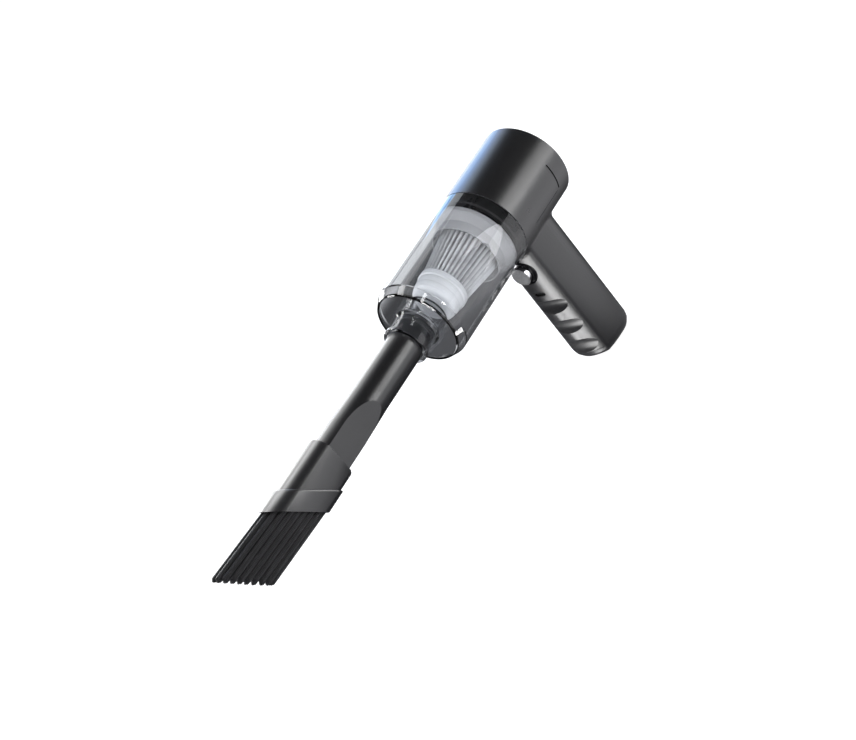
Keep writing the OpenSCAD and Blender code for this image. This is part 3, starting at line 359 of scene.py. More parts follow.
class EffectGroup(Graph):
    """One shared effect, as a node group. Each effect is a method that gives its outputs in order."""

    # The directions of the scratches, in radians, with their fineness across, in waves per metre.
    SCRATCHES = ((0.3, 900.0), (-0.8, 1300.0), (1.2, 700.0))
    SCRATCH_ALONG = 55.0
    SCRATCH_DEEP = 90.0

    def __init__(self, effect: Effect) -> None:
        """Builds the group, which has number sockets only.

        Args:
            effect: Which effect.
        """
        name = effect.name.lower()
        inputs, outputs = effect.value
        super().__init__(bpy.data.node_groups.new(name, "ShaderNodeTree"))
        for label, usual in inputs.items():
            socket = self.tree.interface.new_socket(label, in_out="INPUT", socket_type="NodeSocketFloat")
            socket.default_value = usual
        for label in outputs:
            self.tree.interface.new_socket(label, in_out="OUTPUT", socket_type="NodeSocketFloat")
        self.given = self.tree.nodes.new("NodeGroupInput").outputs
        result = self.tree.nodes.new("NodeGroupOutput")
        for socket, value in zip(result.inputs, getattr(self, name)()):
            self.feed(socket, value)

    def moulded_grain(self) -> Tuple[Socket, ...]:
        """Makes the fine spark-eroded grain of a moulded shell, with its soft change of tone.

        Returns:
            The height, the tone and the pits.
        """
        place = self.place()
        sized = self.scaled(place, self.given["Scale"])
        fine = self.noise(sized, 1.0, 3.0, 0.6)
        cells = self.put(self.add("TexVoronoi", feature="SMOOTH_F1"), Vector=sized, Scale=0.55)
        pits = self.spread(cells.outputs["Distance"], 0.05, 0.6)
        flow = self.scaled(self.scaled(place, self.given["Flow"]), (0.35, 1.0, 1.0))
        height = self.plus(self.times(fine, 0.6), self.times(pits, 0.4))
        return height, self.noise(flow, 1.0, 4.0, 0.55), pits

    def handled_sheen(self) -> Tuple[Socket, ...]:
        """Makes the soft patches where hands have polished a surface.

        Returns:
            Their mask.
        """
        cloud = self.noise(self.scaled(self.place(), self.given["Size"]), 1.0, 5.0, 0.6)
        start = self.minus(0.75, self.times(self.given["Reach"], 0.5))
        return (self.spread(cloud, start, self.plus(start, 0.25)),)

    def worn_rim(self) -> Tuple[Socket, ...]:
        """Makes a broken band of wear round a rim that stands across the barrel's axis.

        Returns:
            Its mask.
        """
        place = self.place()
        x, _, z = self.parts_of(place)
        away = self.minus(x, self.plus(self.given["Rim X"], self.times(z, self.given["Slope"])))
        share = self.math("DIVIDE", self.math("ABSOLUTE", away), self.given["Width"])
        broken = self.spread(self.noise(place, 420.0, 4.0, 0.65), 0.4, 0.62, 0.25)
        return (self.times(self.minus(1.0, share, clamp=True), broken, clamp=True),)

    def settled_dust(self) -> Tuple[Socket, ...]:
        """Makes a thin film of dust on what faces upwards.

        Returns:
            Its mask.
        """
        facing = self.parts_of(self.add("NewGeometry").outputs["Normal"])[2]
        place = self.place()
        specks = self.noise(self.scaled(place, self.given["Grit"]), 1.0, 5.0, 0.7)
        film = self.times(self.spread(facing, 0.1, 0.95), self.spread(specks, 0.45, 0.75))
        drift = self.spread(self.noise(place, 60.0), 0.35, 0.7, 0.2)
        return (self.times(self.times(film, drift), self.given["Amount"], clamp=True),)

    def hair_scratches(self) -> Tuple[Socket, ...]:
        """Makes the fine scratches that wiping leaves on gloss plastic.

        Returns:
            The height and the mask.
        """
        x, y, z = self.parts_of(self.place())
        total: Any = 0.0
        for turn, fineness in self.SCRATCHES:
            cos, sin = math.cos(turn), math.sin(turn)
            along = self.plus(self.times(x, cos), self.times(z, sin))
            across = self.minus(self.times(z, cos), self.times(x, sin))
            stretched = self.math("DIVIDE", self.times(along, self.SCRATCH_ALONG), self.given["Length"])
            line = self.row(self.add("CombineXYZ"), stretched, self.times(across, fineness),
                            self.times(y, self.SCRATCH_DEEP))
            total = self.math("MAXIMUM", total, self.spread(self.noise(line, 1.0, 1.0), 0.68, 0.8))
        mask = self.times(total, self.given["Density"], clamp=True)
        return self.minus(0.0, mask), mask

    def paper_fibre(self) -> Tuple[Socket, ...]:
        """Makes the matted fibres of filter paper, with the dust that soils it.

        Returns:
            The height, the tone and the dust's mask.
        """
        place = self.place()
        sized = self.scaled(place, self.given["Scale"])
        lengthwise = self.noise(self.scaled(sized, (0.18, 1.0, 1.0)), 1.0, 4.0, 0.7)
        crosswise = self.noise(self.scaled(sized, (1.0, 0.2, 0.8)), 1.3, 4.0, 0.7)
        height = self.math("MAXIMUM", lengthwise, crosswise)
        soil = self.spread(self.noise(place, 110.0, 5.0, 0.65), 0.42, 0.7)
        return height, self.spread(height, 0.45, 0.75), self.times(soil, self.given["Soil"], clamp=True)

    def turned_lines(self) -> Tuple[Socket, ...]:
        """Makes the fine rings that turning or rolling leaves round the barrel's axis.

        Returns:
            The height and the tone.
        """
        x, y, z = self.parts_of(self.place())
        pitch = self.given["Pitch"]
        rings = self.row(self.add("CombineXYZ"), self.times(x, pitch),
                         self.times(self.off_axis(y, z), pitch))
        lines = self.noise(rings, 1.0, 2.0, 0.6)
        return lines, self.spread(lines, 0.3, 0.7)


class Coat(Graph):
    """One material's nodes, with its shader and the shared effects at hand."""

    def __init__(self, material: bpy.types.Material, shelf: Dict[Effect, EffectGroup]) -> None:
        """Takes up a material's nodes and its shader.

        Args:
            material: The material.
            shelf: The effects that are built already.
        """
        super().__init__(material.node_tree)
        self.shader = material.node_tree.nodes["Principled BSDF"]
        self.shelf = shelf

    def effect(self, effect: Effect, **values: Any) -> Any:
        """Places a shared effect, which is built when it is first asked for.

        Args:
            effect: Which effect.
            **values: Its inputs, by name.

        Returns:
            Its outputs, by name.
        """
        if effect not in self.shelf:
            self.shelf[effect] = EffectGroup(effect)
        return self.put(self.add("Group", node_tree=self.shelf[effect].tree), **values).outputs

    def cover(self, height: Socket, depth: float, **values: Any) -> None:
        """Feeds the shader by name, and gives it a surface bumped to a depth in metres."""
        bump = self.made("Bump", Distance=depth, Height=height)
        self.put(self.shader, Normal=bump, **values)


# ------------------------------------------------------------------ finishes


@dataclass(frozen=True)
class Finish:
    """One finish of the vacuum, which builds one material.

    Attributes:
        name: The material's name.
        colour: Its main colour, linear.
        roughness: How rough it is, from 0 to 1.
    """

    name: str
    colour: Colour
    roughness: float

    def build(self, shelf: Dict[Effect, EffectGroup]) -> bpy.types.Material:
        """Builds the material.

        Args:
            shelf: The effects that are built already.

        Returns:
            The material.
        """
        material = bpy.data.materials.new(self.name)
        material.use_nodes = True
        material.diffuse_color = (*self.colour, 1.0)
        self.dress(Coat(material, shelf))
        return material

    def dress(self, coat: Coat) -> None:
        """Feeds the shader. Each kind of finish has its own way."""
        raise NotImplementedError

    @staticmethod
    def shade(colour: Colour, share: float) -> Colour:
        """Gives a share of a colour, up to white."""
        return tuple(min(1.0, part * share) for part in colour)


@dataclass(frozen=True)
class MouldedPlastic(Finish):
    """Satin moulded plastic with a fine grain, as on the shells, the tool and the brush.

    Attributes:
        tone: The lighter tone that the grain drifts to.
        grain: Grains per metre.
        depth: The grain's depth, in metres.
        gloss: The specular level.
        rims: Places along X where an edge is polished by handling, each with its slope in z.
        dust: How much dust lies on top.
        dust_colour: The dust's colour.
    """

    tone: Colour = (0.03, 0.03, 0.033)
    grain: float = 2600.0
    depth: float = 0.01 * MM
    gloss: float = 0.5
    rims: Tuple[Tuple[float, float], ...] = ()
    dust: float = 0.05
    dust_colour: Colour = (0.25, 0.24, 0.23)

    def dress(self, coat: Coat) -> None:
        """Feeds the shader from the grain, the sheen, the worn rims and the dust.

        Args:
            coat: The material's nodes.
        """
        grain = coat.effect(Effect.MOULDED_GRAIN, Scale=self.grain)
        sheen = coat.effect(Effect.HANDLED_SHEEN)["Mask"]
        dust = coat.effect(Effect.SETTLED_DUST, Amount=self.dust)["Mask"]
        colour = coat.blend(grain["Tone"], self.colour, self.tone)
        rough = coat.spread(grain["Pits"], to_low=self.roughness + 0.03, to_high=self.roughness - 0.02)
        rough = coat.minus(rough, coat.times(sheen, 0.04))
        for rim_x, slope in self.rims:
            worn = coat.effect(Effect.WORN_RIM, Rim_X=rim_x, Slope=slope)["Mask"]
            colour = coat.blend(coat.times(worn, 0.5), colour, self.shade(self.tone, 4.0))
            rough = coat.minus(rough, coat.times(worn, 0.08))
        coat.cover(grain["Height"], self.depth, Base_Color=coat.blend(dust, colour, self.dust_colour),
                   Roughness=coat.plus(rough, coat.times(dust, 0.5), clamp=True),
                   Specular_IOR_Level=self.gloss)


@dataclass(frozen=True)
class GlossPlastic(Finish):
    """Polished plastic with fine wiping scratches.

    Attributes:
        tone: The colour that it drifts to.
        scratches: How many scratches it has.
        gloss: The specular level.
    """

    tone: Colour = (0.012, 0.012, 0.013)
    scratches: float = 0.25
    gloss: float = 0.5

    def dress(self, coat: Coat) -> None:
        """Feeds the shader from the drift of tone and the scratches.

        Args:
            coat: The material's nodes.
        """
        tone = coat.effect(Effect.MOULDED_GRAIN, Scale=900.0)["Tone"]
        marks = coat.effect(Effect.HAIR_SCRATCHES, Density=self.scratches)
        rough = coat.spread(tone, 0.3, 0.7, self.roughness * 0.85, self.roughness * 1.15)
        coat.cover(marks["Height"], 0.004 * MM, Base_Color=coat.blend(tone, self.colour, self.tone),
                   Roughness=coat.plus(coat.times(marks["Mask"], 0.25), rough),
                   Specular_IOR_Level=self.gloss)


@dataclass(frozen=True)
class ClearPlastic(Finish):
    """Smoky clear plastic of the dust cup, which lets light through to cast no dark shadow.

    Attributes:
        index: Its refractive index.
        scratches: How many fine scratches it has.
    """

    index: float = 1.5
    scratches: float = 0.15

    def dress(self, coat: Coat) -> None:
        """Feeds the glass shader and lets shadow rays through.

        Args:
            coat: The material's nodes.
        """
        marks = coat.effect(Effect.HAIR_SCRATCHES, Density=self.scratches, Length=1.6)
        sheen = coat.effect(Effect.HANDLED_SHEEN, Size=70.0, Reach=0.3)["Mask"]
        rough = coat.spread(sheen, to_low=self.roughness, to_high=self.roughness + 0.015)
        coat.cover(marks["Height"], 0.002 * MM,
                   Base_Color=coat.blend(sheen, self.colour, self.shade(self.colour, 0.97)),
                   Transmission_Weight=1.0, IOR=self.index,
                   Roughness=coat.plus(coat.times(marks["Mask"], 0.12), rough))
        through = coat.made("BsdfTransparent", Color=self.colour)
        coat.end(coat.mixed(coat.ray("Is Shadow Ray"), coat.shader.outputs[0], through))


@dataclass(frozen=True)
class FrostedPlastic(Finish):
    """Milky translucent plastic of the filter's flange and cap.

    Attributes:
        clear: How much light goes through.
        glow: How much light spreads inside it.
    """

    clear: float = 0.35
    glow: float = 0.25

    def dress(self, coat: Coat) -> None:
        """Feeds the translucent shader.

        Args:
            coat: The material's nodes.
        """
        tone = coat.effect(Effect.MOULDED_GRAIN, Scale=4000.0, Flow=55.0)["Tone"]
        flow = coat.effect(Effect.TURNED_LINES, Pitch=2600.0)
        rough = coat.spread(flow["Tone"], to_low=self.roughness + 0.05, to_high=self.roughness - 0.03)
        coat.cover(flow["Height"], 0.003 * MM,
                   Base_Color=coat.blend(tone, self.colour, self.shade(self.colour, 0.9)), Roughness=rough,
                   Transmission_Weight=self.clear, Subsurface_Weight=self.glow, Subsurface_Scale=2.0 * MM,
                   Subsurface_Radius=(1.0, 1.0, 1.0), IOR=1.45)


@dataclass(frozen=True)
class FilterPaper(Finish):
    """Pleated filter paper, with matted fibres, grey dust specks, and painted shade deep in its folds.

    Attributes:
        soil: The colour of the grey dust specks, and of the painted shade deep in the folds.
        fold: The lighter colour that the fibres' tone drifts to.
        rear_x: Where the cone starts, in metres.
        rear_r: The crests' radius there, in metres.
        taper: How the crests' radius changes along the cone.
        depth: How deep the folds are, in metres.
    """

    soil: Colour = (0.12, 0.115, 0.11)
    fold: Colour = (0.6, 0.6, 0.6)
    rear_x: float = 82.5 * MM
    rear_r: float = 21.25 * MM
    taper: float = -5.5 / 38.5
    depth: float = 2.6 * MM

    def dress(self, coat: Coat) -> None:
        """Feeds the shader from the fibres and the dust specks, and paints shade that darkens the paper the
        deeper it lies in a fold.

        Args:
            coat: The material's nodes.
        """
        fibre = coat.effect(Effect.PAPER_FIBRE, Scale=2400.0, Soil=0.3)
        colour = coat.blend(fibre["Tone"], self.colour, self.fold)
        x, y, z = coat.parts_of(coat.place())
        crest = coat.plus(self.rear_r, coat.times(coat.minus(x, self.rear_x), self.taper))
        below = coat.math("DIVIDE", coat.minus(crest, coat.off_axis(y, z)), self.depth)
        # Painted shade: the paper is darkened towards the dust's colour the deeper a point lies below the
        # crests.
        colour = coat.blend(coat.spread(below, 0.1, 1.0, 0.0, 0.75), colour, self.soil)
        rough = coat.spread(fibre["Tone"], to_low=self.roughness, to_high=self.roughness - 0.12)
        coat.cover(fibre["Height"], 0.06 * MM, Base_Color=coat.blend(fibre["Soil Mask"], colour, self.soil),
                   Roughness=rough, Sheen_Weight=0.25, Sheen_Roughness=0.5)


@dataclass(frozen=True)
class SoftRubber(Finish):
    """Matte rubber of the seals, a little chalky."""

    def dress(self, coat: Coat) -> None:
        """Feeds the shader from a coarse grain and bloom.

        Args:
            coat: The material's nodes.
        """
        grain = coat.effect(Effect.MOULDED_GRAIN, Scale=1700.0)
        bloom = coat.effect(Effect.HANDLED_SHEEN, Size=160.0, Reach=0.8)["Mask"]
        chalky = tuple(part + 0.03 for part in self.colour)
        coat.cover(grain["Height"], 0.03 * MM,
                   Base_Color=coat.blend(coat.times(bloom, 0.5), self.colour, chalky),
                   Roughness=coat.spread(grain["Pits"], to_low=self.roughness, to_high=self.roughness - 0.1))


@dataclass(frozen=True)
class WorkedMetal(Finish):
    """Turned or rolled metal, from dull steel to bright chrome.

    Attributes:
        lines: Lines per metre.
    """

    lines: float = 9000.0

    def dress(self, coat: Coat) -> None:
        """Feeds the shader from the turned lines and fine scratches.

        Args:
            coat: The material's nodes.
        """
        turned = coat.effect(Effect.TURNED_LINES, Pitch=self.lines)
        marks = coat.effect(Effect.HAIR_SCRATCHES, Density=0.2)
        rough = coat.spread(turned["Tone"], to_low=self.roughness * 1.25, to_high=self.roughness)
        coat.cover(turned["Height"], 0.004 * MM, Metallic=1.0,
                   Base_Color=coat.blend(turned["Tone"], self.shade(self.colour, 0.8), self.colour),
                   Roughness=coat.plus(coat.times(marks["Mask"], 0.2), rough))


@dataclass(frozen=True)
class ButtonMetal(WorkedMetal):
    """Bright chrome sides with a satin, fine-grained face.

    Attributes:
        face: The face's colour.
        face_x: Where the face lies along X, in metres.
        face_rough: How rough the face is.
    """

    face: Colour = (0.26, 0.26, 0.265)
    face_x: float = 64.3 * MM
    face_rough: float = 0.42

    def dress(self, coat: Coat) -> None:
        """Feeds the shader from the face's mask, its grain and the turned lines.

        Args:
            coat: The material's nodes.
        """
        grain = coat.effect(Effect.MOULDED_GRAIN, Scale=5200.0)
        turned = coat.effect(Effect.TURNED_LINES, Pitch=self.lines)
        x, _, _ = coat.parts_of(coat.place())
        on_face = coat.spread(x, self.face_x - 0.8 * MM, self.face_x - 0.6 * MM)
        sides = coat.blend(turned["Tone"], self.shade(self.colour, 0.85), self.colour)
        speckled = coat.blend(grain["Pits"], self.shade(self.face, 0.4), self.face)
        coat.cover(coat.times(grain["Height"], on_face), 0.02 * MM,
                   Base_Color=coat.blend(on_face, sides, speckled),
                   Metallic=coat.spread(on_face, to_low=1.0, to_high=0.35),
                   Roughness=coat.spread(on_face, to_low=self.roughness, to_high=self.face_rough))


@dataclass(frozen=True)
class BoardResin(Finish):
    """Solder mask of the control board, with copper tracks under it.

    Attributes:
        track: The colour over copper.
    """

    track: Colour = (0.03, 0.2, 0.08)

    def dress(self, coat: Coat) -> None:
        """Feeds the shader from a net of tracks.

        Args:
            coat: The material's nodes.
        """
        net = coat.put(coat.add("TexBrick", offset=0.37, squash=1.4), Scale=420.0, Mortar_Size=0.06,
                       Vector=coat.scaled(coat.place(), (0.0, 1.0, 1.0))).outputs["Fac"]
        pits = coat.effect(Effect.MOULDED_GRAIN, Scale=3200.0)["Pits"]
        coat.cover(net, 0.02 * MM, Base_Color=coat.blend(net, self.colour, self.track),
                   Roughness=coat.spread(pits, to_low=self.roughness + 0.05, to_high=self.roughness))


@dataclass(frozen=True)
class ShrinkWrap(Finish):
    """Thin glossy film shrunk round the battery cell or drawn over a wire."""

    def dress(self, coat: Coat) -> None:
        """Feeds the shader from soft wrinkles.

        Args:
            coat: The material's nodes.
        """
        tone = coat.effect(Effect.MOULDED_GRAIN, Scale=400.0, Flow=90.0)["Tone"]
        coat.cover(tone, 0.1 * MM, Base_Color=coat.blend(tone, self.shade(self.colour, 0.75), self.colour),
                   Roughness=coat.spread(tone, 0.3, 0.7, self.roughness, self.roughness + 0.1))


@dataclass(frozen=True)
class BristleNylon(Finish):
    """Dark nylon filaments, each a little different, with lines along them.

    Attributes:
        light: The lighter filaments' colour.
        dust_colour: The colour of the dust on them.
    """

    light: Colour = (0.03, 0.03, 0.033)
    dust_colour: Colour = (0.2, 0.19, 0.18)

    def dress(self, coat: Coat) -> None:
        """Feeds the shader from streaks that run along the filaments.

        Args:
            coat: The material's nodes.
        """
        streak = coat.noise(coat.scaled(coat.place(), (40.0, 1600.0, 1600.0)), 1.0, 3.0, 0.6)
        tone = coat.spread(streak, 0.35, 0.7)
        dust = coat.effect(Effect.SETTLED_DUST, Amount=0.06, Grit=1500.0)["Mask"]
        colour = coat.blend(tone, self.colour, self.light)
        coat.cover(streak, 0.02 * MM, Base_Color=coat.blend(dust, colour, self.dust_colour),
                   Roughness=coat.spread(tone, to_low=self.roughness + 0.1, to_high=self.roughness))


class FinishRack:
    """Every finish of the vacuum by name, each built once when a piece first asks for it."""

    SATIN_SHELL = MouldedPlastic("charcoal_shell", (0.008, 0.008, 0.009), 0.33, tone=(0.0135, 0.0135, 0.015),
                                 gloss=0.75, rims=((0.0, 0.0), (0.0625, 0.0)))
    SATIN_TOOL = MouldedPlastic("charcoal_tool", (0.008, 0.008, 0.009), 0.33, tone=(0.0135, 0.0135, 0.015),
                                gloss=0.75, grain=3000.0, rims=((0.3075, 0.86), (0.2645, 0.0)))
    FAN_PLASTIC = MouldedPlastic("fan_plastic", (0.02, 0.02, 0.022), 0.45, tone=(0.035, 0.035, 0.038))
    INNER_BLACK = MouldedPlastic("inner_black_plastic", (0.012, 0.012, 0.013), 0.5, tone=(0.02, 0.02, 0.021),
                                 grain=1800.0, depth=0.02 * MM)
    PIANO_BLACK = GlossPlastic("piano_black_plastic", (0.006, 0.006, 0.007), 0.14, scratches=0.2)
    BAND_BLACK = GlossPlastic("black_band_plastic", (0.004, 0.004, 0.004), 0.3, tone=(0.006, 0.006, 0.006),
                              scratches=0.0, gloss=0.3)
    SMOKE_CLEAR = ClearPlastic("smoke_clear_plastic", (0.80, 0.81, 0.83), 0.015)
    FROSTED = FrostedPlastic("frosted_clear_plastic", (0.86, 0.87, 0.87), 0.3)
    FROSTED_BELL = FrostedPlastic("frosted_bell_plastic", (0.9, 0.9, 0.9), 0.2, clear=0.72, glow=0.1)
    PAPER = FilterPaper("filter_paper", (0.55, 0.56, 0.56), 0.9)
    RUBBER = SoftRubber("seal_rubber", (0.02, 0.02, 0.02), 0.72)
    STEEL = WorkedMetal("turned_steel", (0.6, 0.6, 0.62), 0.3)
    DARK_NICKEL = WorkedMetal("dark_nickel", (0.3, 0.3, 0.305), 0.25)
    CHROME = ButtonMetal("button_chrome", (0.75, 0.75, 0.77), 0.12, lines=16000.0)
    BOARD = BoardResin("board_resin", (0.02, 0.12, 0.05), 0.35)
    CELL_WRAP = ShrinkWrap("cell_wrap", (0.03, 0.12, 0.45), 0.2)
    WIRE_COVER = ShrinkWrap("wire_cover", (0.5, 0.03, 0.03), 0.3)
    NYLON = BristleNylon("bristle_nylon", (0.008, 0.008, 0.009), 0.35)

    def __init__(self) -> None:
        """Starts with no effect and no material built."""
        self.shelf: Dict[Effect, EffectGroup] = {}
        self.built: Dict[str, bpy.types.Material] = {}

    def give(self, piece: Piece, finish: Finish) -> None:
        """Puts a finish into a piece's material slots.

        Args:
            piece: The piece.
            finish: Its finish.
        """
        if finish.name not in self.built:
            self.built[finish.name] = finish.build(self.shelf)
        if not piece.material_slots:
            piece.data.materials.append(None)
        for held in piece.material_slots:
            held.material = self.built[finish.name]
        LOG.info("dressed %s with %s", piece.name, finish.name)


# ------------------------------------------------------------------ sub-assemblies


Wears = Tuple[Tuple[Finish, Tuple[str, ...]], ...]


@dataclass
class SubAssembly:
    """A group of pieces that is built and dressed together.

    Attributes:
        rack: The finishes.
        WEARS: The finishes of the CAD nodes that it carries over, each with the nodes' names.
    """

    rack: FinishRack
    WEARS: ClassVar[Wears] = ()

    def build(self) -> None:
        """Models the group's new pieces, and dresses the CAD nodes that it carries over."""
        self.model()
        for finish, names in self.WEARS:
            for name in names:
                self.rack.give(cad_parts[name], finish)

    def model(self) -> None:
        """Models the group's new pieces. A group without any leaves it as it is."""

    def keep(self, piece: Piece, body: str, slot: str, finish: Finish, replaced: str) -> None:
        """Finishes a new piece: its body, its finish and the node that it stands for.

        Args:
            piece: The new piece.
            body: The CAD body that it rides on.
            slot: The record's material slot. It is not used.
            finish: Its finish.
            replaced: The CAD node that it replaces.
        """
        self.rack.give(piece, finish)
        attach(piece, body)
        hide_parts(replaced)
        LOG.info("built %s, %d faces", piece.name, len(piece.data.polygons))


@dataclass
class MotorBody(SubAssembly):
    """The barrel with its pistol grip, and all that it holds.

    Attributes:
        soft_angle: Edges flatter than this are shaded smooth, in degrees.
    """

    soft_angle: float = 24.0
    WEARS: ClassVar[Wears] = (
        (FinishRack.INNER_BLACK, ("rear_grille", "motor_end_bell", "motor_mount", "fan_shroud", "diffuser",
                                  "battery_holder", "power_switch")),
        (FinishRack.BAND_BLACK, ("cup_spigot",)),
        (FinishRack.RUBBER, ("cup_seal",)),
        (FinishRack.STEEL, ("motor_can", "shaft_bearings", "housing_screws", "motor_shaft", "impeller_nut")),
        (FinishRack.DARK_NICKEL, ("charge_port",)),
        (FinishRack.FAN_PLASTIC, ("impeller",)),
        (FinishRack.BOARD, ("control_board",)),
        (FinishRack.CELL_WRAP, ("battery_cell",)),
        (FinishRack.WIRE_COVER, ("motor_wires",)),
    )

    def model(self) -> None:
        """Models the half shells from the CAD's, with their flare and rounded end shaded smooth."""
        for side in ("left", "right"):
            node = f"housing_{side}"
            shell = Bench.twin(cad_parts[node], f"barrel_and_grip_{side}")
            with Bench.editing(shell):
                Bench.weld()
            Bench.smooth(shell, self.soft_angle)
            self.keep(shell, "body", "charcoal_plastic", FinishRack.SATIN_SHELL, node)


@dataclass
class PowerControl(SubAssembly):
    """The trigger button in its stepped ring."""

    WEARS: ClassVar[Wears] = (
        (FinishRack.PIANO_BLACK, ("button_bezel",)),
        (FinishRack.CHROME, ("power_button",)),
        (FinishRack.STEEL, ("button_spring",)),
    )


@dataclass
class DustCup(SubAssembly):
    """The clear cup with the socket for the tool, and the socket's seal."""

    WEARS: ClassVar[Wears] = (
        (FinishRack.SMOKE_CLEAR, ("dust_cup",)),
        (FinishRack.RUBBER, ("nozzle_seal",)),
    )


@dataclass
class ConeFilter(SubAssembly):
    """The cone filter: its flange, gasket and cap, and the rounded pleats between them.

    Attributes:
        folds: How many pleats there are.
        steps: Points across one pleat.
        depth: How deep a pleat is, in metres.
        roundness: How much of a pleat's shape is a round wave. The rest is a straight fold.
        paper: The paper's thickness, in metres.
        front_slack: How far behind the cone's front end its front points may lie, in metres.
        soft_angle: Edges flatter than this are shaded smooth, in degrees.
    """

    folds: int = 36
    steps: int = 8
    depth: float = 2.6 * MM
    roundness: float = 0.45
    paper: float = 0.4 * MM
    front_slack: float = 0.1 * MM
    soft_angle: float = 32.0
    WEARS: ClassVar[Wears] = (
        (FinishRack.FROSTED_BELL, ("filter_frame",)),
        (FinishRack.FROSTED, ("filter_cap",)),
        (FinishRack.RUBBER, ("filter_gasket",)),
    )

    def fold_depth(self, step: int) -> float:
        """Says how far below the crests a point of a pleat lies.

        Args:
            step: The point's number within its pleat.

        Returns:
            The depth, in metres, from 0 at the crest to the pleat's full depth.
        """
        along = step / self.steps
        wave = 0.5 - 0.5 * math.cos(2 * math.pi * along)
        ramp = abs((along + 0.5) % 1.0 - 0.5) * 2
        return self.depth * (self.roundness * wave + (1.0 - self.roundness) * ramp)

    def model(self) -> None:
        """Models the pleated paper: a ring drawn into folds, drawn out along the cone and thickened."""
        low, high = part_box("filter_pleats")
        places = [point.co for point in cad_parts["filter_pleats"].data.vertices]
        front_x = high.x - self.front_slack
        front_r = max(math.hypot(place.y, place.z) for place in places if place.x > front_x)
        Bench.clear()
        bpy.ops.mesh.primitive_circle_add(vertices=self.folds * self.steps, radius=high.z, fill_type="NOTHING",
                                          location=(low.x, 0, 0), rotation=(0, math.pi / 2, 0))
        pleats = Bench.settle("pleated_paper")
        with Bench.editing(pleats):
            for step in range(self.steps):
                Bench.pick_points(pleats, lambda number, place: number % self.steps == step)
                Bench.narrow(1.0 - self.fold_depth(step) / high.z)
            bpy.ops.mesh.select_all(action="SELECT")
            Bench.draw_out(high.x - low.x)
            Bench.narrow(front_r / high.z)
            bpy.ops.mesh.select_all(action="SELECT")
            bpy.ops.mesh.normals_make_consistent(inside=False)
        wall = pleats.modifiers.new("wall", "SOLIDIFY")
        wall.thickness = self.paper
        wall.offset = -1.0
        wall.use_even_offset = False
        bpy.ops.object.modifier_apply(modifier=wall.name)
        Bench.smooth(pleats, self.soft_angle)
        self.keep(pleats, "filter", "filter_paper", FinishRack.PAPER, "filter_pleats")


@dataclass
class CreviceTool(SubAssembly):
    """The round tube that flattens into a crevice tool."""

    WEARS: ClassVar[Wears] = ((FinishRack.SATIN_TOOL, ("crevice_nozzle",)),)


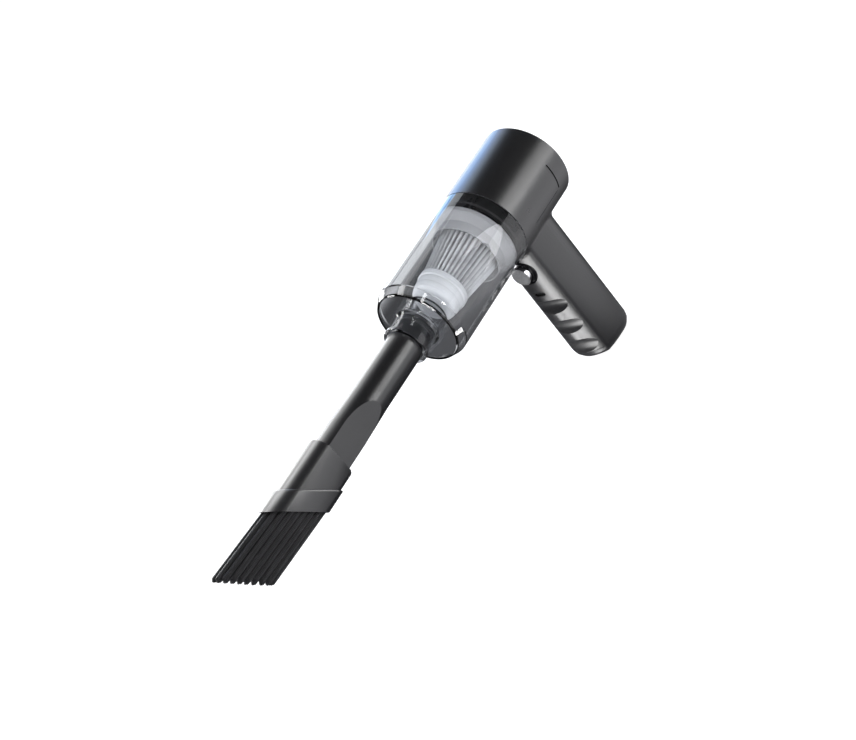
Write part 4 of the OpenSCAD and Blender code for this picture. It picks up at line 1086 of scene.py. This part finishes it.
@dataclass
class SlipBrush(SubAssembly):
    """The slip-on brush: its sleeve, and a bundle of filaments for each tuft.

    Attributes:
        tufts: How many tufts there are.
        tuft_r: A tuft's radius, in metres.
        filament_r: A filament's radius, in metres.
        filament_sides: How many sides a filament has.
        tip_steps: Each step of a filament's rounded tip: its length, in metres, and its narrowing.
        tip_share: How much of the tips' differences in length a planted tuft keeps.
        ring_back: How far the first ring's filaments stand back from the middle one, in metres.
        half_h: Half the height of the path that the tufts stand on, in metres.
        half_t: Half the thickness of that path, in metres.
        ledge_x: Where the tufts start in front of the ledge, at the axis, in metres.
        band_x: Where the band's rear edge crosses the axis, in metres.
        band_half_h: Half the band's height, in metres.
        band_half_t: Half the band's thickness, in metres.
        bulge: How much wider than the flats its round ends are, in metres.
        round_over: The rounding of the band's rear edge, in metres.
        round_steps: How many faces the rounding has.
        slack: How far off the band's sides a point of its rear edge may lie, in metres.
        flat_angle: Faces that meet flatter than this are joined first, in degrees.
        soft_angle: The sleeve's edges flatter than this are shaded smooth, in degrees.
        filament_soft_angle: The same for a filament's edges.
        mouth_slope: How the brush's mouth slants.
        tips_x: Where the tips end, at the axis, in metres.
        tip_slope: How the tips slant.
        lean: The tufts' lean upwards, in degrees.
        splay: The outer tufts' splay, in degrees.
    """

    tufts: int = 20
    tuft_r: float = 1.8 * MM
    filament_r: float = 0.35 * MM
    filament_sides: int = 6
    tip_steps: Tuple[Tuple[float, float], ...] = ((4.0 * MM, 0.85), (3.0 * MM, 0.5))
    tip_share: float = 0.22
    ring_back: float = 1.6 * MM
    half_h: float = 15.15 * MM
    half_t: float = 7.85 * MM
    ledge_x: float = 303.5 * MM
    band_x: float = 290.0 * MM
    band_half_h: float = 18.2 * MM
    band_half_t: float = 10.9 * MM
    bulge: float = 1.0 * MM
    round_over: float = 1.35 * MM
    round_steps: int = 4
    slack: float = 0.01 * MM
    flat_angle: float = 0.15
    soft_angle: float = 30.0
    filament_soft_angle: float = 70.0
    mouth_slope: float = 0.86
    tips_x: float = 365.0 * MM
    tip_slope: float = 0.77
    lean: float = 2.8
    splay: float = 0.3

    def model(self) -> None:
        """Models the sleeve, and plants a bundle of filaments for each tuft."""
        self.model_sleeve()
        bundle = self.model_bundle()
        for number in range(self.tufts):
            self.plant(bundle, number)
        bpy.data.objects.remove(bundle)

    def on_ridge(self, number: int, place: Vector) -> bool:
        """Says whether a point of the sleeve lies on the band's rear outer edge.

        Args:
            number: The point's number.
            place: Its place.

        Returns:
            Whether it lies there.
        """
        half_h, half_t = self.band_half_h, self.band_half_t
        on_plane = abs(place.x - self.band_x - self.mouth_slope * place.z) < 2 * self.slack
        on_flat = abs(abs(place.y) - half_t) < self.slack and abs(place.z) < half_h
        arc = math.hypot(place.y, abs(place.z) - (half_h - half_t - self.bulge))
        return on_plane and (on_flat or arc > half_t + self.bulge - self.slack)

    def model_sleeve(self) -> None:
        """Models the sleeve from the CAD's, with the rear edge of its band rounded over."""
        sleeve = Bench.twin(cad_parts["brush_sleeve"], "brush_band_and_sleeve")
        with Bench.editing(sleeve):
            Bench.weld()
            bpy.ops.mesh.dissolve_limited(angle_limit=math.radians(self.flat_angle))
            found = Bench.pick_points(sleeve, self.on_ridge)
            bpy.ops.mesh.select_mode(type="EDGE")
            if found:
                bpy.ops.mesh.bevel(offset=self.round_over, segments=self.round_steps, profile=0.5,
                                   clamp_overlap=False)
        LOG.info("rounded %d points of the band's ridge", found)
        Bench.smooth(sleeve, self.soft_angle)
        self.keep(sleeve, "brush", "charcoal_plastic", FinishRack.SATIN_TOOL, "brush_sleeve")

    def model_filament(self) -> Piece:
        """Models one filament a metre long, with a rounded tip beyond.

        Returns:
            The filament, along X from the origin.
        """
        Bench.clear()
        bpy.ops.mesh.primitive_cylinder_add(vertices=self.filament_sides, radius=self.filament_r, depth=1.0,
                                            location=(0.5, 0, 0), rotation=(0, math.pi / 2, 0))
        strand = Bench.settle("filament")
        with Bench.editing(strand):
            Bench.pick_points(strand, lambda number, place: place.x > 0.5)
            bpy.ops.mesh.select_mode(type="FACE")
            for length, share in self.tip_steps:
                Bench.draw_out(length)
                Bench.narrow(share)
        Bench.smooth(strand, self.filament_soft_angle)
        return strand

    def model_bundle(self) -> Piece:
        """Models one tuft, a metre long: two rings of filaments round a middle one.

        Returns:
            The bundle, along X from the origin.
        """
        strand = self.model_filament()
        strands = [strand]
        for ring in (1, 2):
            radius = ring * (self.tuft_r - self.filament_r) / 2
            count = 6 * ring
            for number in range(count):
                turn = 2 * math.pi * (number + 0.5 * (ring % 2)) / count
                copy = Bench.twin(strand, "filament_copy")
                with Bench.editing(copy):
                    bpy.ops.transform.translate(value=(-self.ring_back * ring ** 2, radius * math.cos(turn),
                                                       radius * math.sin(turn)))
                strands.append(copy)
        Bench.take(*strands)
        bpy.ops.object.join()
        return Bench.settle("bristle_bundle")

    def path_point(self, share: float) -> Tuple[float, float]:
        """Finds a place on the slot-shaped path that the tufts stand on.

        Args:
            share: How far round the path it is, from 0 to 1.

        Returns:
            The place's y and z, in metres.
        """
        straight = 2 * (self.half_h - self.half_t)
        half = straight + math.pi * self.half_t
        side = 1 if share < 0.5 else -1
        along = share * 2 * half % half
        if along < straight:
            return side * self.half_t, side * (along - straight / 2)
        turn = (along - straight) / self.half_t
        return side * self.half_t * math.cos(turn), side * (straight / 2 + self.half_t * math.sin(turn))

    def plant(self, bundle: Piece, number: int) -> None:
        """Plants one tuft on the ledge, with its lean, its splay and its length.

        Args:
            bundle: The tuft to copy, a metre long.
            number: The tuft's number round the path.
        """
        y, z = self.path_point((number + 0.5) / self.tufts)
        root = self.ledge_x + self.mouth_slope * z
        length = self.tips_x + self.tip_slope * z - root
        whole = 1.0 + sum(step for step, _ in self.tip_steps)
        tuft = Bench.twin(bundle, f"bristle_bundle_{number + 1:02d}")
        for point in tuft.data.vertices:
            if point.co.x < 0.5:
                point.co.x = self.mouth_slope * point.co.z
            else:
                point.co.x = length + (point.co.x - whole) * self.tip_share
        lean = Matrix.Rotation(math.radians(-self.lean - self.splay * z / self.half_h), 4, "Y")
        splay = Matrix.Rotation(math.radians(self.splay * y / self.half_t), 4, "Z")
        tuft.data.transform(Matrix.Translation((root, y, z)) @ splay @ lean)
        self.keep(tuft, "brush", "bristle_nylon", FinishRack.NYLON, "brush_tufts")


# ------------------------------------------------------------------ studio


SHELL_PIECES = ("barrel_and_grip_left", "barrel_and_grip_right")
TOOL_PIECES = ("crevice_nozzle", "brush_band_and_sleeve")
# The dark that gloss reflects from the surroundings, and from the floor, where it is painted under and behind
# the vacuum.
DARK_IN_REFLECTIONS = (0.02, 0.02, 0.022)


class Reach(Enum):
    """Which pieces a lamp panel lights: some pieces, and whether it lights only those or all but those."""

    ALL = ((), False)
    NOT_CUP = (("dust_cup",), False)
    NOT_GRIP = (SHELL_PIECES, False)
    NOT_CLEAR_OR_TOOLS = (("dust_cup", *TOOL_PIECES), False)
    GRIP = (SHELL_PIECES, True)
    CUP = (("dust_cup",), True)
    TOOLS = (TOOL_PIECES, True)
    SLEEVE = (("brush_band_and_sleeve",), True)
    FILTER = (("filter_frame", "filter_cap", "pleated_paper"), True)


@dataclass
class SoftBox:
    """One lamp panel that faces the vacuum.

    Attributes:
        name: What it is for.
        azimuth: Where it stands, in degrees from the nozzle's direction towards the left side.
        height: How high it stands, in degrees above the axis.
        distance: How far off it stands, in metres.
        width: Its width, in metres.
        tall: Its height, in metres.
        radiance: How bright its face is, where 1 is white.
        reach: Which pieces it lights.
        aim: The point that it faces.
        colour: Its light's colour.
    """

    name: str
    azimuth: float
    height: float
    distance: float
    width: float
    tall: float
    radiance: float
    reach: Reach = Reach.ALL
    aim: Point = (0.06, 0.0, 0.0)
    colour: Colour = WHITE

    def build(self) -> None:
        """Builds the lamp, which the camera and clear plastic don't see."""
        data = bpy.data.lights.new(self.name, "AREA")
        data.shape = "RECTANGLE"
        data.size = self.width
        data.size_y = self.tall
        data.energy = self.radiance * PANEL_POWER * self.width * self.tall
        data.color = self.colour
        lamp = bpy.data.objects.new(self.name, data)
        bpy.context.scene.collection.objects.link(lamp)
        turn, rise = math.radians(self.azimuth), math.radians(self.height)
        away = Vector((math.cos(rise) * math.cos(turn), math.cos(rise) * math.sin(turn), math.sin(rise)))
        lamp.location = Vector(self.aim) + away * self.distance
        lamp.rotation_euler = away.to_track_quat("Z", "Y").to_euler()
        lamp.visible_camera = False
        lamp.visible_transmission = False
        pieces, only = self.reach.value
        if pieces:
            self.screen(lamp, "receiver", pieces, only)
        if self.reach is Reach.GRIP:
            self.screen(lamp, "blocker", ("pale_floor",), False)
        LOG.info("lit %s", self.name)

    def screen(self, lamp: Piece, use: str, pieces: Tuple[str, ...], only: bool) -> None:
        """Keeps a lamp's light, or the shadows in it, to some pieces or off them.

        Args:
            lamp: The lamp.
            use: Receiver for its light, blocker for its shadows.
            pieces: The pieces' names.
            only: Whether it is kept to the pieces, and not off them.
        """
        held = bpy.data.collections.new(f"{self.name}_{use}")
        for name in pieces:
            held.objects.link(bpy.data.objects[name])
        setattr(lamp.light_linking, f"{use}_collection", held)
        for link in held.collection_objects:
            link.light_linking.link_state = "INCLUDE" if only else "EXCLUDE"


@dataclass
class Studio:
    """The pale floor, the plain surroundings, the lamps and the camera.

    Attributes:
        floor_z: The floor's height, in metres.
        floor_size: The length of its sides, in metres.
        floor_paint: Its colour, for the light that it gives back.
        floor_seen: Its colour to the eye, which takes the shadow.
        floor_glow: How bright it is to the eye before any light falls on it.
        lens: The camera's focal length, in millimetres.
        frame_width: The width of the camera's frame, in millimetres.
        near: How near the camera sees, in metres.
        eye: Where the camera stands, in metres.
        right: The camera's right-hand direction.
        up: The camera's upward direction.
        back: The direction from what it sees towards it.
        lamps: The lamp panels.
    """

    floor_z: float = -127.2 * MM
    floor_size: float = 16.0
    floor_paint: Colour = (0.75, 0.75, 0.76)
    floor_seen: Colour = (0.4, 0.4, 0.4)
    floor_glow: float = 0.93
    lens: float = 93.214
    frame_width: float = 36.0
    near: float = 0.05
    eye: Point = (0.882943, 1.025623, 0.585258)
    right: Point = (-0.468332, 0.669007, -0.577143)
    up: Point = (-0.718512, 0.091777, 0.689433)
    back: Point = (0.514204, 0.737568, 0.437707)
    lamps: Tuple[SoftBox, ...] = (
        SoftBox("key_low", 121.0, -14.0, 1.3, 0.4, 0.34, 0.7, Reach.NOT_CUP),
        SoftBox("key_middle", 121.0, 2.0, 1.3, 0.4, 0.34, 6.2, Reach.NOT_CUP),
        SoftBox("key_high", 121.0, 18.0, 1.3, 0.4, 0.34, 5.1, Reach.NOT_CUP),
        SoftBox("rim_low", -125.0, -4.0, 1.1, 0.6, 0.3, 3.5, colour=(0.88, 0.92, 1.0)),
        SoftBox("rim_middle", -125.0, 12.0, 1.1, 0.6, 0.3, 1.5, colour=(0.9, 0.95, 1.0)),
        SoftBox("rim_high", -125.0, 28.0, 1.1, 0.6, 0.3, 2.5, Reach.NOT_CLEAR_OR_TOOLS,
                colour=(0.56, 0.66, 1.0)),
        SoftBox("rim_top", -125.0, 44.0, 1.1, 0.6, 0.3, 2.1, Reach.NOT_CLEAR_OR_TOOLS,
                colour=(0.76, 0.88, 1.0)),
        SoftBox("rim_crown", -125.0, 60.0, 1.1, 0.6, 0.3, 0.7),
        SoftBox("seam_glow", -130.0, 16.0, 0.32, 0.1, 0.12, 2.4, aim=(0.06, 0.0, 0.03),
                colour=(0.1, 0.45, 1.0)),
        SoftBox("far_side", -95.0, 6.0, 1.2, 0.5, 0.5, 6.4),
        SoftBox("far_front", -60.0, 25.0, 1.0, 0.4, 0.4, 9.6, Reach.NOT_GRIP, (0.28, 0.0, 0.0)),
        SoftBox("front", 5.0, 5.0, 0.9, 0.3, 0.3, 15.0),
        SoftBox("rear_low", -150.0, -3.0, 0.6, 0.2, 0.12, 3.2, aim=(0.03, 0.0, -0.05)),
        SoftBox("rear", 178.0, 15.0, 1.3, 0.5, 0.5, 2.7),
        SoftBox("top", 0.0, 85.0, 1.3, 0.6, 0.6, 0.9),
        SoftBox("brush_top", -100.0, 70.0, 1.2, 0.5, 0.3, 5.6, aim=(0.28, 0.0, 0.0)),
        SoftBox("grip_strip", -6.0, -26.0, 0.7, 0.34, 0.2, 11.0, Reach.GRIP, (0.055, 0.0, -0.07)),
        SoftBox("grip_under", -27.0, -62.0, 0.6, 0.16, 0.16, 8.0, Reach.GRIP, (0.055, 0.0, -0.08)),
        SoftBox("scoop_card", -46.0, -28.0, 0.05, 0.014, 0.04, 7.0, Reach.GRIP, (0.058, 0.014, -0.086)),
        SoftBox("cup_rim", -125.0, 34.0, 1.1, 0.6, 0.45, 1.7, Reach.CUP, colour=(0.9, 0.95, 1.0)),
        SoftBox("bevel_card", 84.0, -62.0, 0.125, 0.05, 0.03, 14.0, Reach.CUP, (0.153, 0.027, -0.011)),
        SoftBox("bevel_bar", 93.0, 12.0, 1.0, 0.34, 0.16, 22.0, Reach.CUP, (0.148, 0.029, 0.011)),
        SoftBox("socket_glint", 40.0, 50.0, 1.0, 0.6, 0.25, 10.0, Reach.CUP, (0.15, 0.0, 0.0)),
        SoftBox("band_card", 124.0, 2.8, 0.205, 0.016, 0.24, 2.6, Reach.CUP, (0.08, 0.03, 0.0)),
        SoftBox("tool_rim", -126.0, 24.0, 1.1, 0.6, 0.9, 2.6, Reach.TOOLS, (0.25, 0.0, 0.0)),
        SoftBox("ridge_light", 172.0, -3.0, 0.8, 0.4, 0.2, 12.0, Reach.SLEEVE, (0.29, 0.0, 0.0)),
        SoftBox("sleeve_crown", -146.0, 50.0, 1.1, 0.6, 0.4, 6.0, Reach.SLEEVE, (0.28, 0.0, 0.0)),
        SoftBox("filter_key", 75.0, 0.0, 1.0, 0.5, 0.4, 15.0, Reach.FILTER, (0.1, 0.0, 0.0)),
        SoftBox("filter_front", 12.0, 12.0, 0.9, 0.35, 0.35, 9.0, Reach.FILTER, (0.1, 0.0, 0.0)),
    )

    def build(self) -> None:
        """Builds the studio without its lamps."""
        self.build_camera()
        self.build_floor()
        self.build_world()
        bpy.context.scene.view_settings.view_transform = "Standard"

    def light(self) -> None:
        """Builds the lamps, once the pieces that they are screened from are there."""
        for panel in self.lamps:
            panel.build()

    def build_camera(self) -> None:
        """Builds the camera, with no shift and no depth of field."""
        data = bpy.data.cameras.new("camera")
        data.lens = self.lens
        data.sensor_width = self.frame_width
        data.clip_start = self.near
        camera = bpy.data.objects.new("camera", data)
        bpy.context.scene.collection.objects.link(camera)
        turn = Matrix((self.right, self.up, self.back)).transposed().to_4x4()
        camera.matrix_world = Matrix.Translation(self.eye) @ turn
        bpy.context.scene.camera = camera

    def build_floor(self) -> None:
        """Builds the floor, which is white to the eye and keeps a faint shadow."""
        Bench.clear()
        bpy.ops.mesh.primitive_plane_add(size=self.floor_size, location=(0, 0, self.floor_z))
        floor = bpy.context.object
        floor.name = "pale_floor"
        material = bpy.data.materials.new("pale_floor")
        material.use_nodes = True
        graph = Graph(material.node_tree)
        graph.tree.nodes.remove(graph.tree.nodes["Principled BSDF"])
        surface = graph.made("BsdfDiffuse", Color=self.floor_paint)
        seen = graph.row(graph.add("AddShader"), graph.made("BsdfDiffuse", Color=self.floor_seen),
                         graph.made("Emission", Strength=self.floor_glow))
        for ray, look in (("Is Glossy Ray", graph.made("Emission", Color=self.floor_in_gloss(graph))),
                          ("Is Transmission Ray", graph.made("Emission", Color=self.floor_in_glass(graph))),
                          ("Is Camera Ray", seen)):
            surface = graph.mixed(graph.ray(ray), surface, look)
        graph.end(surface)
        floor.data.materials.append(material)

    @staticmethod
    def floor_in_gloss(graph: Graph) -> Socket:
        """Paints the floor as gloss reflects it: a painted glow brighter than white in front, and painted dark
        under and behind the vacuum.

        Args:
            graph: The floor's nodes.

        Returns:
            The colour's socket.
        """
        x, y, _ = graph.parts_of(graph.place())
        ahead = graph.times(graph.spread(x, 0.0, 0.08), graph.spread(y, 0.12, 0.18, 1.0, 0.0))
        near = graph.times(graph.spread(y, -0.02, 0.11, 0.08, 1.0), graph.spread(ahead, 0.0, 1.0, 1.0, 0.2))
        # Painted reflection: for glossy rays the floor glows at up to 1.45 on the side towards the camera, and
        # is dark under, behind and ahead of the vacuum.
        return graph.blend(near, DARK_IN_REFLECTIONS, (1.45, 1.45, 1.5))

    @staticmethod
    def floor_in_glass(graph: Graph) -> Socket:
        """Paints the floor as the clear cup shows it: painted dark grey near the vacuum, turning white further
        off.

        Args:
            graph: The floor's nodes.

        Returns:
            The colour's socket.
        """
        _, y, _ = graph.parts_of(graph.place())
        # Painted shade: through the clear plastic the pale floor shows dark grey.
        painted_dark_in_glass = graph.blend(graph.spread(y, -0.27, -0.17), (0.08, 0.08, 0.083), (0.13, 0.13, 0.135))
        return graph.blend(graph.spread(y, -0.4, -0.29, 1.0, 0.0), painted_dark_in_glass, WHITE)

    def build_world(self) -> None:
        """Builds the surroundings: white to the eye, plain for light, and banded in gloss."""
        world = bpy.data.worlds.new("studio")
        bpy.context.scene.world = world
        world.use_nodes = True
        graph = Graph(world.node_tree)
        graph.tree.nodes.clear()
        facing = graph.add("VectorMath", operation="DOT_PRODUCT")
        graph.row(facing, graph.add("TexCoord").outputs["Generated"], tuple(-part for part in self.back))
        wall = graph.spread(facing.outputs["Value"], 0.55, 0.85)
        banded = graph.blend(wall, DARK_IN_REFLECTIONS, (0.35, 0.35, 0.35))
        colour: Any = (0.25, 0.25, 0.255)
        for ray, look in (("Is Glossy Ray", banded), ("Is Transmission Ray", (0.12, 0.12, 0.125)),
                          ("Is Camera Ray", WHITE)):
            colour = graph.blend(graph.ray(ray), colour, look)
        graph.put(graph.add("OutputWorld"), Surface=graph.made("Background", Color=colour))


def main() -> None:
    """Builds the vacuum's pieces and the studio in order."""
    logging.basicConfig(level=logging.INFO, format="%(name)s: %(message)s")
    studio = Studio()
    studio.build()
    rack = FinishRack()
    for group in (MotorBody(rack), PowerControl(rack), DustCup(rack), ConeFilter(rack), CreviceTool(rack),
                  SlipBrush(rack)):
        group.build()
        LOG.info("%s is ready", type(group).__name__)
    studio.light()
    bpy.context.view_layer.update()


if __name__ == "__main__":
    main()
